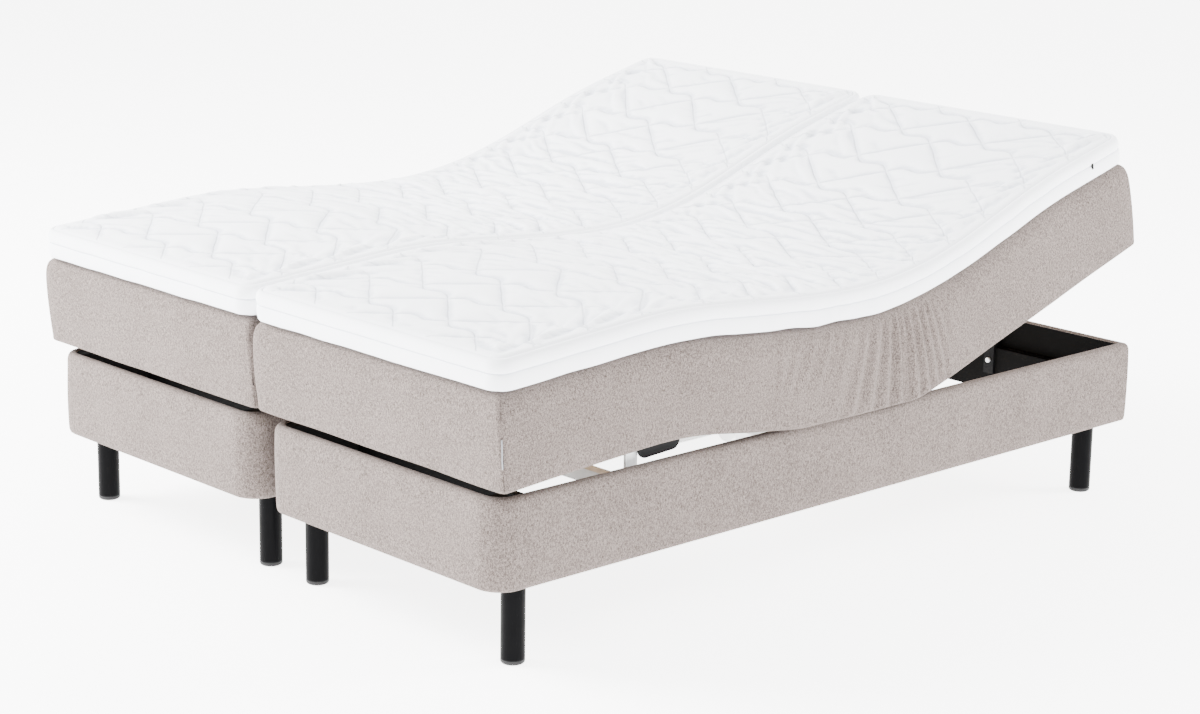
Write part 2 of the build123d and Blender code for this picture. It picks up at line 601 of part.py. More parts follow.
# ---- the whole bed ----------------------------------------------------------------------------------
FOOT, HEAD = FOOT_END_Y, HEAD_END_Y
KNEE_HINGE = (KNEE_Y, 0, KNEE_NOTCH)
THIGH_HINGE = (THIGH_HINGE_Y, THIGH_NOTCH, 0)
BACK_HINGE = (BACK_HINGE_Y, BACK_NOTCH, 0)
SECTIONS = {
    "seat": (THIGH_HINGE, BACK_HINGE, stay_flat, seat_frame),
    "back": (BACK_HINGE, HEAD, lift_back, back_frame),
    "thigh": (KNEE_HINGE, THIGH_HINGE, lift_thigh, thigh_frame),
    "calf": (FOOT, KNEE_HINGE, drop_calf, calf_frame),
}


def plain_y(hinge, side):
    """Where slats may start or stop at a hinge or a plain end."""
    return hinge[0] + side * SLAT_SETBACK if isinstance(hinge, tuple) else hinge + side * BORDER


def solids_of(shapes):
    return [solid for shape in shapes for solid in shape.solids()]


def unit_pieces():
    """{node: list of shapes} of one unit, centred on its own middle line. Shared nodes come first."""
    places = leg_places()
    shared = {
        "legs": [leg(x, y) for x, y in places],
        "leg_glides": [leg_glide(x, y) for x, y in places],
        "leg_studs": [leg_stud(x, y) for x, y in places],
        "leg_blocks": [leg_block(x, y) for x, y in places],
        "corner_posts": corner_posts(),
        "side_boards": side_boards(),
        "foot_boards": [foot_board()],
        "head_boards": [head_board()],
        "cross_battens": cross_battens(),
        "centre_brackets": [centre_bracket()],
        "bracket_bolts": bracket_bolts(),
        "bearers": [seat_bearer(y) for y in BEARER_YS] + [stay_bearer()],
        "bearer_bolts": bearer_bolts(),
        "drive_housings": [drive_housing()],
        "drive_motors": drive_motors(),
        "drive_spindles": drive_spindles(),
        "control_boxes": [control_box()],
        "seat_hinge_bolts": [hinge_bolt(y, side) for y in (THIGH_HINGE_Y, BACK_HINGE_Y) for side in SIDES],
        "seat_frames": seat_frame(),
        "seat_slats": slats(THIGH_HINGE_Y + SLAT_SETBACK, BACK_HINGE_Y - SLAT_SETBACK),
    }
    own = {"base_cover": [drill_headboard_holes(base_cover())]}
    for name, (low, high, pose, frame) in SECTIONS.items():
        if name != "seat":
            own[name + "_frame"] = [pose(piece) for piece in frame()]
            own[name + "_slats"] = [pose(piece) for piece in slats(plain_y(low, 1), plain_y(high, -1))]
        own[name + "_mattress"] = [pose(piece) for piece in mattress_section(low, high)]
        own[name + "_topper"] = [pose(topper_section(low, high))]
    own["knee_bolts"] = [lift_thigh(hinge_bolt(KNEE_Y, side)) for side in SIDES]
    own["calf_stays"] = [swing_stay(link) for link in calf_stay()]
    own["head_slider"] = [head_slider()]
    own["foot_slider"] = [foot_slider()]
    return shared, own


def write_node(name, shapes):
    export_step(Compound(children=solids_of(shapes)), f"parts/{name}.step")


def main():
    os.makedirs("parts", exist_ok=True)
    shared, own = unit_pieces()
    for name, shapes in shared.items():
        write_node(name, [Pos(x, 0, 0) * shape for x in UNITS.values() for shape in shapes])
    for unit, x in UNITS.items():
        for name, shapes in own.items():
            write_node(f"{name}_{unit}", [Pos(x, 0, 0) * shape for shape in shapes])
    write_node("foot_catch_right", [Pos(UNITS["right"], 0, 0) * drop_calf(foot_catch())])
    write_node("joining_plates", joining_plates())


main()
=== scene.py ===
import json
import math

import bpy
import numpy as np
from mathutils import Matrix, Vector

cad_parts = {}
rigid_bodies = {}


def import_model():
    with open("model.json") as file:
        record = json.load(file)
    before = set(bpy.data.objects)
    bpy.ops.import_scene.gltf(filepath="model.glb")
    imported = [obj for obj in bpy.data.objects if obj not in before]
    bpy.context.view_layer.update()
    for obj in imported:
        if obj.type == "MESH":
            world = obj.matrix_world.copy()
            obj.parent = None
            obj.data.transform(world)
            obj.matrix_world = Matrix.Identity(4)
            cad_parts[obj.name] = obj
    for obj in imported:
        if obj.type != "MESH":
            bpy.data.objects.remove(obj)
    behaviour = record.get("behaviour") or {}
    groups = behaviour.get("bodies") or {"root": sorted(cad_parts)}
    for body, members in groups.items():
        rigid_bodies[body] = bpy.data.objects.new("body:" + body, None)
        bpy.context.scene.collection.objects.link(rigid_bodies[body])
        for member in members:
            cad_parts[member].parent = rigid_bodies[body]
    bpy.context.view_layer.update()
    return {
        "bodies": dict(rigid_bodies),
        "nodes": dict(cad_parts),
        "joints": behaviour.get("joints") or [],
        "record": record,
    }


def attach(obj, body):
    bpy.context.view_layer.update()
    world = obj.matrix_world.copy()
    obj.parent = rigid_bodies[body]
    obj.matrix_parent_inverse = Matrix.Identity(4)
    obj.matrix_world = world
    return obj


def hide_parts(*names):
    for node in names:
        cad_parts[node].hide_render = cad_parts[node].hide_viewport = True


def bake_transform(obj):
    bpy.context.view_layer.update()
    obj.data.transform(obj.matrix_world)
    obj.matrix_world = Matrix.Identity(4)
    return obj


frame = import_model()
print("frame loaded")

units = {"left": -0.4, "right": 0.4}  # unit name to the x of its middle
rad = math.radians


cameraSettings = {
    "place": (4.62985, -4.34750, 1.95498),
    "turnFromY": 46.872,  # degrees, anticlockwise seen from above
    "lookDown": 14.309,
    "roll": 0.928,
    "lens": 83.77,
}


def makeCamera(s):
    turn, down, roll = rad(s["turnFromY"]), rad(s["lookDown"]), rad(s["roll"])
    ahead = Vector((-math.sin(turn) * math.cos(down), math.cos(turn) * math.cos(down), -math.sin(down)))
    across = Vector((math.cos(turn), math.sin(turn), 0))
    above = across.cross(ahead)
    right = across * math.cos(roll) + above * math.sin(roll)
    top = above * math.cos(roll) - across * math.sin(roll)
    data = bpy.data.cameras.new("camera")
    data.lens = s["lens"]
    data.sensor_width = 36
    data.clip_end = 100
    camera = bpy.data.objects.new("camera", data)
    matrix = Matrix((right, top, -ahead)).transposed().to_4x4()
    matrix.translation = Vector(s["place"])
    camera.matrix_world = matrix
    bpy.context.scene.collection.objects.link(camera)
    bpy.context.scene.camera = camera


makeCamera(cameraSettings)
print("camera placed")


# a socket wrapped so that + - * / on values add Math nodes
class Link:
    def __init__(self, tree, socket):
        self.tree = tree
        self.socket = socket

    def math(self, operation, *others):
        node = self.tree.nodes.new("ShaderNodeMath")
        node.operation = operation
        for place, value in enumerate((self, *others)):
            plug(self.tree, node.inputs[place], value)
        return Link(self.tree, node.outputs[0])

    def __add__(self, other):
        return self.math("ADD", other)

    def __mul__(self, other):
        return self.math("MULTIPLY", other)

    def __sub__(self, other):
        return self.math("SUBTRACT", other)

    def __truediv__(self, other):
        return self.math("DIVIDE", other)

    def __rsub__(self, other):
        return (self * -1.0) + other

    __radd__ = __add__
    __rmul__ = __mul__

    def sin(self):
        return self.math("SINE")

    def abs(self):
        return self.math("ABSOLUTE")

    def mod(self, size):
        return self.math("FLOORED_MODULO", size)

    def lowest(self, other):
        return self.math("MINIMUM", other)

    def highest(self, other):
        return self.math("MAXIMUM", other)


def plug(tree, socket, value):
    if isinstance(value, Link):
        tree.links.new(value.socket, socket)
    elif hasattr(socket.default_value, "__len__") and not hasattr(value, "__len__"):
        socket.default_value = [value] * len(socket.default_value)
    else:
        socket.default_value = value


# a material being built: node() adds any node, surface() sets the shader
class Finish:
    def __init__(self, name):
        self.material = bpy.data.materials.new(name)
        self.material.use_nodes = True
        self.tree = self.material.node_tree
        self.shader = self.tree.nodes["Principled BSDF"]

    def node(self, kind, out=0, settings=None, stops=None, **inputs):
        node = self.tree.nodes.new("ShaderNode" + kind)
        for key, value in (settings or {}).items():
            setattr(node, key, value)
        if stops:
            ramp = node.color_ramp
            while len(ramp.elements) < len(stops):
                ramp.elements.new(0.5)
            for element, (place, colour) in zip(ramp.elements, stops):
                element.position = place
                element.color = (*colour, 1)
        for key, value in inputs.items():
            socket = node.inputs[int(key[1:])] if key[0] == "i" and key[1:].isdigit() else node.inputs[key]
            plug(self.tree, socket, value)
        return Link(self.tree, node.outputs[out])

    def place(self, attribute=None):
        if attribute:
            return self.node("Attribute", out=1, settings={"attribute_name": attribute})
        return self.node("TexCoord", out=3)

    def stretched(self, vector, x, y, z):
        return self.node("Mapping", Vector=vector, Scale=(x, y, z))

    def noise(self, vector, scale, detail=3, rough=0.55):
        return self.node("TexNoise", Vector=vector, Scale=scale, Detail=detail, Roughness=rough)

    def split(self, vector):
        node = self.tree.nodes.new("ShaderNodeSeparateXYZ")
        plug(self.tree, node.inputs[0], vector)
        return [Link(self.tree, node.outputs[i]) for i in range(3)]

    def mix(self, factor, a, b):
        node = self.tree.nodes.new("ShaderNodeMix")
        node.data_type = "RGBA"
        plug(self.tree, node.inputs[0], factor)
        plug(self.tree, node.inputs[6], (*a, 1) if isinstance(a, tuple) else a)
        plug(self.tree, node.inputs[7], (*b, 1) if isinstance(b, tuple) else b)
        return Link(self.tree, node.outputs[2])

    def remap(self, value, low, high, newLow, newHigh):
        return self.node("MapRange", i0=value, i1=low, i2=high, i3=newLow, i4=newHigh)

    def bump(self, height, distance, strength):
        return self.node("Bump", Height=height, Distance=distance, Strength=strength)

    def surface(self, **values):
        for key, value in values.items():
            plug(self.tree, self.shader.inputs[key.replace("_", " ")], value)
        return self.material


bed = {
    "footEnd": -1.008, "headEnd": 0.992,
    "bottom": 0.362, "top": 0.566,  # heights of the flat mattress
    "pivotZ": 0.4,  # height of the hinges
    # the side's two edges at rest: the slope at the foot in degrees, then each bend's place on the flat bed,
    # half its length and how far it turns; and the (y, z) of one point that the edge passes through
    "lowerEdge": {
        "slope": 3.6, "bends": [(-0.528, 0.160, -11.65), (-0.173, 0.030, 8.05), (0.197, 0.036, 18.1)],
        "through": (0.0, 0.3622),
    },
    "upperEdge": {
        "slope": 3.8,
        "bends": [(-0.539, 0.114, -8.7), (-0.058, 0.230, 7.8), (0.259, 0.310, 17.9), (0.719, 0.120, -6.0)],
        "through": (-0.03, 0.5762),
    },
    "cuts": (-0.34, 0.02),  # where the long pieces are parted, in stretches that hardly bend
}


def smooth(t):
    t = np.clip(t, 0, 1)
    return t * t * (3 - 2 * t)


# An edge of the side as a curve of flat length: the slope is a sum of smooth steps, one for each bend, and its
# integral gives (y, z). Cloth above the hinges' height is squeezed by a bend, in proportion to its height.
def edgeCurve(edge, height):
    length = np.linspace(-1.06, 1.06, 2121)
    slope = np.full_like(length, edge["slope"])
    for middle, half, turn in edge["bends"]:
        slope = slope + turn * smooth((length - middle) / (2 * half) + 0.5)
    slope = np.radians(slope)
    step = (1 - (height - bed["pivotZ"]) * np.gradient(slope, length)) * (length[1] - length[0])
    y, z = np.cumsum(step * np.cos(slope)), np.cumsum(step * np.sin(slope))
    throughY, throughZ = edge["through"]
    y = y - np.interp(throughY, length, y) + throughY
    z = z - np.interp(throughY, length, z) + throughZ
    return length, y, z, slope


lowerCurve = edgeCurve(bed["lowerEdge"], bed["bottom"])
upperCurve = edgeCurve(bed["upperEdge"], bed["top"])


# Flat to rest: a point goes as far between the two edges as its height says, and above the upper edge it
# stands off square to it.
def bent(points):
    flatY, flatZ = points[:, 1], points[:, 2]
    lowY, lowZ = (np.interp(flatY, lowerCurve[0], lowerCurve[k]) for k in (1, 2))
    highY, highZ, slope = (np.interp(flatY, upperCurve[0], upperCurve[k]) for k in (1, 2, 3))
    level = np.minimum((flatZ - bed["bottom"]) / (bed["top"] - bed["bottom"]), 1)
    over = np.maximum(flatZ - bed["top"], 0)
    y = lowY + (highY - lowY) * level - over * np.sin(slope)
    z = lowZ + (highZ - lowZ) * level + over * np.cos(slope)
    return np.stack([points[:, 0], y, z], 1)


def softNoise(a, b, seed):
    # smooth random heights between -1 and 1, with one random value per whole step of a and b
    table = np.random.default_rng(seed).uniform(-1, 1, (64, 64))
    ia, ib = np.floor(a).astype(int), np.floor(b).astype(int)
    fa, fb = smooth(a - ia), smooth(b - ib)
    corner = [[table[(ia + i) % 64, (ib + j) % 64] for j in (0, 1)] for i in (0, 1)]
    low = corner[0][0] * (1 - fb) + corner[0][1] * fb
    high = corner[1][0] * (1 - fb) + corner[1][1] * fb
    return low * (1 - fa) + high * fa


def spread(stops):
    # samples along a line: stops are (end, step) pairs, each stretch cut evenly
    values = [stops[0][0]]
    for (a, _), (b, step) in zip(stops, stops[1:]):
        count = max(1, int(round((b - a) / step)))
        values.extend(np.linspace(a, b, count + 1)[1:])
    return np.array(values)


def roundCorners(x, y, halfX, lowY, highY, radius):
    # a rectangle's points moved so that its corners are round: each corner square becomes a quarter disc
    midY, halfY = (lowY + highY) / 2, (highY - lowY) / 2
    px, py = x, y - midY
    a = (np.abs(px) - (halfX - radius)) / radius
    b = (np.abs(py) - (halfY - radius)) / radius
    inside = (a > 0) & (b > 0)
    a, b = np.clip(a, 0, 1), np.clip(b, 0, 1)
    newX = halfX - radius + radius * a * np.sqrt(1 - b * b / 2)
    newY = halfY - radius + radius * b * np.sqrt(1 - a * a / 2)
    px = np.where(inside, np.sign(px) * newX, px)
    py = np.where(inside, np.sign(py) * newY, py)
    return px, py + midY


# A closed pad in flat coordinates. xs and ys are samples across and along, corner is the plan radius, and rim
# has (inset, z) steps from the underside's edge round the outside to the top's edge. The top and bottom are
# grids, and their border points are joined by the rim's steps.
def padGrid(xs, ys, corner, rim):
    nx, ny = len(xs), len(ys)
    gx, gy = np.meshgrid(xs, ys, indexing="ij")
    halfX, lowY, highY = xs[-1], ys[0], ys[-1]
    midY, halfY = (lowY + highY) / 2, (highY - lowY) / 2
    i = np.r_[np.arange(nx - 1), np.full(ny - 1, nx - 1), np.arange(nx - 1, 0, -1), np.zeros(ny - 1, int)]
    j = np.r_[np.zeros(nx - 1, int), np.arange(ny - 1), np.full(nx - 1, ny - 1), np.arange(ny - 1, 0, -1)]
    border = i * ny + j

    def plate(inset):
        # the outline shrunk evenly by its inset, with its corners rounded
        x = gx * (halfX - inset) / halfX
        y = midY + (gy - midY) * (halfY - inset) / halfY
        return roundCorners(x, y, halfX - inset, lowY + inset, highY - inset, max(corner - inset, 0.002))

    parts = []
    for inset, z in rim:
        x, y = plate(inset)
        parts.append(np.stack([x.ravel()[border], y.ravel()[border], np.full(len(border), z)], 1))
    x, y = plate(rim[-1][0])
    top = np.stack([x.ravel(), y.ravel(), np.full(nx * ny, rim[-1][1])], 1)
    x, y = plate(rim[0][0])
    bottom = np.stack([x.ravel(), y.ravel(), np.full(nx * ny, rim[0][1])], 1)
    middle = np.concatenate(parts[1:-1])
    points = np.concatenate([top, bottom, middle])
    count = len(border)
    between = [2 * nx * ny + k * count + np.arange(count) for k in range(len(rim) - 2)]
    ring = [nx * ny + border, *between, border]
    cell = (np.arange(nx - 1)[:, None] * ny + np.arange(ny - 1)[None, :]).ravel()
    quads = [np.stack([cell, cell + ny, cell + ny + 1, cell + 1], 1)]
    quads.append(np.stack([cell, cell + 1, cell + ny + 1, cell + ny], 1) + nx * ny)
    for low, high in zip(ring, ring[1:]):
        quads.append(np.stack([low, np.roll(low, -1), np.roll(high, -1), high], 1))
    kinds = np.concatenate([np.zeros(nx * ny), np.ones(nx * ny), np.full(len(middle), 2)])
    return points, np.concatenate(quads), kinds


def pointNormals(points, quads):
    # a point's normal is the sum of its faces' normals, each the cross product of the face's diagonals
    total = np.zeros_like(points)
    faces = np.cross(points[quads[:, 2]] - points[quads[:, 0]], points[quads[:, 3]] - points[quads[:, 1]])
    for k in range(4):
        np.add.at(total, quads[:, k], faces)
    return total / np.maximum(np.linalg.norm(total, axis=1, keepdims=True), 1e-12)


def rimNormals(flat, xs, ys):
    # outward direction in plan for points at or near the outline
    halfX, midY, halfY = xs[-1], (ys[0] + ys[-1]) / 2, (ys[-1] - ys[0]) / 2
    overX = np.clip(np.abs(flat[:, 0]) - halfX + 0.02, 0, None) * np.sign(flat[:, 0])
    overY = np.clip(np.abs(flat[:, 1] - midY) - halfY + 0.02, 0, None) * np.sign(flat[:, 1] - midY)
    out = np.stack([overX, overY, np.zeros(len(flat))], 1)
    return out / np.maximum(np.linalg.norm(out, axis=1, keepdims=True), 1e-9)


def addAttribute(mesh, name, values):
    data = mesh.attributes.new(name, "FLOAT_VECTOR", "POINT").data
    data.foreach_set("vector", np.asarray(values, np.float32).ravel())


# faces are a list of index arrays, each with one number of corners. cloth is each point's flat place, and
# hollow is how far it lies in a crease, from 0 to 1, which a finish turns into painted shade.
def makeMesh(name, points, faces, normals=None, cloth=None, hollow=None):
    mesh = bpy.data.meshes.new(name)
    sizes = np.concatenate([np.full(len(f), f.shape[1]) for f in faces])
    loops = np.concatenate([f.ravel() for f in faces]).astype(np.int32)
    mesh.vertices.add(len(points))
    mesh.vertices.foreach_set("co", np.ascontiguousarray(points, np.float32).ravel())
    mesh.loops.add(len(loops))
    mesh.loops.foreach_set("vertex_index", loops)
    mesh.polygons.add(len(sizes))
    mesh.polygons.foreach_set("loop_start", np.r_[0, np.cumsum(sizes)[:-1]].astype(np.int32))
    mesh.polygons.foreach_set("use_smooth", np.ones(len(sizes), bool))
    mesh.update(calc_edges=True)
    if cloth is not None:
        addAttribute(mesh, "cloth", cloth)
    if hollow is not None:
        addAttribute(mesh, "hollow", np.repeat(hollow, 3))
    if normals is not None:
        mesh.normals_split_custom_set(normals)
    thing = bpy.data.objects.new(name, mesh)
    bpy.context.scene.collection.objects.link(thing)
    return thing


def boundaryLoop(quads):
    # the open edge's points in order, opposite to the way the faces run, so that a cap closes it
    edges = np.concatenate([quads[:, [k, (k + 1) % 4]] for k in range(4)]).astype(np.int64)
    count = int(quads.max()) + 1
    lone = ~np.isin(edges[:, 0] * count + edges[:, 1], edges[:, 1] * count + edges[:, 0])
    before = dict(edges[lone][:, ::-1].tolist())
    loops = []
    while before:
        start = next(iter(before))
        loop, here = [start], before.pop(start)
        while here != start:
            loop.append(here)
            here = before.pop(here)
        loops.append(np.array([loop]))
    return loops


# parts a long pad at the bed's cuts into foot, middle and head pieces that share one surface
def partedPad(name, points, quads, flat, shift, material, hollow=None):
    normals = pointNormals(points, quads)
    middleY = flat[quads, 1].mean(1)
    low, high = bed["cuts"]
    pieces = {}
    shares = {"foot": middleY < low, "middle": (middleY > low) & (middleY < high), "head": middleY > high}
    for part, keep in shares.items():
        used, local = np.unique(quads[keep], return_inverse=True)
        local = local.reshape(-1, 4)
        caps = boundaryLoop(local)
        placed = points[used] + np.array([shift, 0, 0])
        capNormals = []
        for cap in caps:
            away = placed[cap[0]].mean(0)[1] - placed[:, 1].mean()
            capNormals.append(np.tile([0, np.sign(away), 0], (cap.shape[1], 1)))
        loopNormals = np.concatenate([normals[used][local.ravel()], *capNormals])
        deep = None if hollow is None else hollow[used]
        piece = makeMesh(f"{name}_{part}", placed, [local, *caps], loopNormals, flat[used], deep)
        piece.data.materials.append(material)
        pieces[part] = piece
    return pieces


# fixes the three pieces where they lie and hides the plain sections of the frame that they stand for; the hinge
# places in the table are not used
def bindPad(pieces, unit, kind):
    x = units[unit]
    places = {
        "head": ("base", f"back_{unit}", (x, 0.03, 0.5), (x, 0.45, 0.5), ("seat", "back")),
        "middle": ("base", f"thigh_{unit}", (x, 0.01, 0.5), (x, -0.33, 0.5), ("seat", "thigh")),
        "foot": (f"thigh_{unit}", f"calf_{unit}", (x, -0.36, 0.5), (x, -0.68, 0.5), ("thigh", "calf")),
    }
    for part, (first, second, start, end, nodes) in places.items():
        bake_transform(pieces[part])
        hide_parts(*[f"{node}_{kind}_{unit}" for node in nodes])


# Squeezes a sheet of cloth and lets it settle. threads is where its points lie as it was cut, squeezed where
# they are pushed to, and hold how firmly each point is kept there. Gives how far each ends up from squeezed.
def settled(name, threads, squeezed, quads, hold, s):
    scene = bpy.context.scene
    mesh = bpy.data.meshes.new(name)
    mesh.from_pydata(threads.tolist(), [], quads.tolist())
    sheet = bpy.data.objects.new(name, mesh)
    scene.collection.objects.link(sheet)
    sheet.shape_key_add(name="Basis")
    push = sheet.shape_key_add(name="squeezed")
    push.data.foreach_set("co", np.ascontiguousarray(squeezed, np.float32).ravel())
    group = sheet.vertex_groups.new(name="held")
    for weight in np.unique(hold[hold > 0]):
        group.add(np.flatnonzero(hold == weight).tolist(), float(weight), "REPLACE")
    cloth = sheet.modifiers.new("cloth", "CLOTH")
    c = cloth.settings
    c.quality = s["quality"]
    c.mass = s["mass"]
    c.tension_stiffness = c.compression_stiffness = s["stretch"]
    c.shear_stiffness = s["shear"]
    c.bending_stiffness = s["bending"]
    c.air_damping = s["drag"]
    c.vertex_group_mass = "held"
    c.effector_weights.gravity = 0
    if s["pressure"]:
        c.use_pressure = True
        c.uniform_pressure_force = s["pressure"]
    cloth.collision_settings.use_collision = False
    cloth.point_cache.frame_start, cloth.point_cache.frame_end = 1, s["frames"]
    for frame, value in ((1, 0.0), (1 + s["squeezeFrames"], 1.0)):
        push.value = value
        push.keyframe_insert("value", frame=frame)
    for frame in range(1, s["frames"] + 1):
        scene.frame_set(frame)
    finished = sheet.evaluated_get(bpy.context.evaluated_depsgraph_get()).data
    points = np.empty(len(threads) * 3, np.float32)
    finished.vertices.foreach_get("co", points)
    action = mesh.shape_keys.animation_data.action
    bpy.data.objects.remove(sheet)
    bpy.data.meshes.remove(mesh)
    bpy.data.actions.remove(action)
    scene.frame_set(1)
    return points.reshape(-1, 3).astype(float) - squeezed


def gridQuads(rows, columns):
    cell = (np.arange(rows - 1)[:, None] * columns + np.arange(columns - 1)[None, :]).ravel()
    return np.stack([cell, cell + columns, cell + columns + 1, cell + 1], 1)


# arc length along each row of a grid of points, with every step lengthened by its own slack
def unrolled(grid, slack):
    step = np.linalg.norm(np.diff(grid, axis=1), axis=2) * (1 + slack)
    return np.concatenate([np.zeros((len(grid), 1)), np.cumsum(step, axis=1)], axis=1)


upholstery = {
    "light": (0.200, 0.165, 0.150),
    "dark": (0.050, 0.039, 0.0345),
    "grainPerMetre": 265,
    "bump": 0.0022,
    "seamShade": 0.45,
    "slitZ": 0.448, "slitHalf": 0.031,  # middle and half length of the open slit, drawn only as painted shade
}


# chenille: small flecks, a little longer upright than across, with broad brushed patches. The mattress has a
# seam up each corner, and by the feet an open slit in it, both drawn as painted shade in the colour.
def upholsteryFinish(name, attribute):
    s = upholstery
    f = Finish(name)
    place = f.place(attribute)
    streaks = f.noise(f.stretched(place, 1.0, 1.0, 0.55), s["grainPerMetre"] * 1.3, 2, 0.6)
    flecks = f.noise(f.stretched(place, 1.0, 1.0, 0.85), s["grainPerMetre"] * 2.1, 2, 0.7)
    melange = f.noise(f.stretched(place, 1.0, 1.0, 0.9), s["grainPerMetre"] * 0.8, 2, 0.6)
    clouds = f.noise(f.stretched(place, 1.0, 1.0, 0.6), 9, 3, 0.55)
    tone = streaks * 0.30 + flecks * 0.46 + melange * 0.18 + clouds * 0.06
    middle = tuple((a + b) / 2 for a, b in zip(s["dark"], s["light"]))
    colour = f.node("ValToRGB", Fac=tone, stops=[(0.405, s["dark"]), (0.50, middle), (0.595, s["light"])])
    x, y, z = f.split(place)
    offX = x.abs() - (mattress["half"] - 0.3 * mattress["corner"])
    offY = y - bed["footEnd"] - 0.3 * mattress["corner"]
    fromCorner = (offX * offX + offY * offY).math("SQRT")
    line = f.remap(fromCorner, 0.0010, 0.0022, 1.0, 0.0)
    nearSlit = f.remap((z - s["slitZ"]).abs(), s["slitHalf"], s["slitHalf"] + 0.002, 1.0, 0.0)
    onRight = f.remap(x, 0.0, 0.1, 0.0, 1.0)
    slitShade = f.remap(fromCorner, 0.0020, 0.0032, 1.0, 0.0) * nearSlit * onRight
    onMattress = f.remap(z, 0.366, 0.367, 0.0, 1.0)
    # painted shade: a near-black line along the corner seam's groove, and a dark slit with no opening in the mesh
    shade = (line * s["seamShade"]).highest(slitShade) * onMattress
    colour = f.mix(shade, colour, tuple(v * 0.12 for v in s["dark"]))
    pile = f.bump(streaks * 0.5 + flecks * 0.5, s["bump"], 0.8)
    return f.surface(
        Base_Color=colour, Roughness=0.95, Normal=pile,
        Sheen_Weight=0.08, Sheen_Roughness=0.5, Sheen_Tint=(0.9, 0.86, 0.82, 1), Specular_IOR_Level=0.08,
    )


quilt = {
    "wave": 0.252,  # length of one wave across the bed
    "rise": 0.142,  # how far a line has moved along the bed after one wave
    "first": 0.0716, "second": -0.0224, "third": 0.008,  # strength of the wave's harmonics, as parts of a wave
    "shift": 0.050, "along": 0.017,  # where the pattern starts, across and along the bed
    "puff": 0.0066,  # height of the wadding between the lines
    "groove": 0.013,  # distance from a line over which it rises
    "wrinkle": 0.0056,  # height of the cross wrinkles
    # strengths and colour of the painted shade in the ticking's creases, stitching and zip
    "stitchShade": 0.55, "zipShade": 0.7, "hollowShade": 0.75,
    "shade": (0.54, 0.57, 0.64),
}


# Distance in metres from the nearest stitched line. Two sets of wavy lines run slantwise and mirror each other,
# half a wave apart. A line falls by "rise" in each wave, plus three harmonics that leave it nearly straight for
# most of the wave and turn it back sharply over the rest.
def quiltLines(x, y):
    s = quilt
    distance = None
    for side in (1, -1):
        middle = s["shift"] + (0 if side > 0 else s["wave"] / 2)
        run = side * (x - middle) / s["wave"]
        angle = 2 * np.pi * run
        wave = s["first"] * np.sin(angle) + s["second"] * np.sin(2 * angle) + s["third"] * np.sin(3 * angle)
        slope = s["rise"] / s["wave"] + 2 * np.pi * (
            s["first"] * np.cos(angle) + 2 * s["second"] * np.cos(2 * angle) + 3 * s["third"] * np.cos(3 * angle)
        )
        offset = (y - s["along"] + run * s["rise"] + wave * s["wave"]) % s["rise"]
        near = np.minimum(offset, s["rise"] - offset) / np.sqrt(1 + slope**2)
        distance = near if distance is None else np.minimum(distance, near)
    return distance


topper = {
    "half": 0.3965,
    "corner": 0.042,
    "stepX": 0.0066, "stepY": 0.0062,
    "rim": [
        (0.016, 0.5680), (0.008, 0.5678), (0.0030, 0.5690), (0.0008, 0.5722), (0.0, 0.5760),
        (-0.0008, 0.5800), (-0.0014, 0.5860), (-0.0014, 0.5930), (-0.0004, 0.5985), (0.0014, 0.6012),
        (0.0030, 0.6024), (0.0030, 0.6034), (0.0012, 0.6048), (-0.0006, 0.6085), (-0.0012, 0.6140),
        (-0.0006, 0.6200), (0.0010, 0.6245), (0.0034, 0.6280), (0.0062, 0.6305), (0.0095, 0.6322),
        (0.0128, 0.6316), (0.0142, 0.6300), (0.0158, 0.6314), (0.0190, 0.6342), (0.0240, 0.6360),
    ],
    "rimHigh": 0.6340,  # above this the border has become the top
    "cloth": {
        "frames": 22, "squeezeFrames": 10, "quality": 4, "mass": 0.15,
        "stretch": 12.0, "shear": 4.0, "bending": 1.5, "drag": 3.0, "pressure": 2.2,
    },
    "slack": 0.10,  # how much longer the cloth is than its place, where it is squeezed most
    "everywhere": 0.004,  # and how much longer it is all over
    "slide": 0.006,  # furthest that the cloth may shift along the bed
    "stitchHalf": 0.0034, "stitchHold": 0.55,  # half width of a stitched line, and how firmly it holds the cloth
    "borderHold": 0.012,  # width of the top's edge that is held fast
    "rise": 0.0090,  # furthest that the cloth may lift
    "flange": 21,  # rim step at the bottom of the groove beside the flange
    "taper": 0.007,  # part by which it is narrower at the head
    "reach": 3,  # neighbours to each side that a hollow is measured against
    "deep": 0.0020,  # depth of a hollow whose painted shade shows in full
}


# where the pad is squeezed lengthwise: over the hips, and less under the back
def squeeze(y):
    return np.exp(-(((y + 0.06) / 0.25) ** 2)) + 0.5 * np.exp(-(((y - 0.36) / 0.15) ** 2))


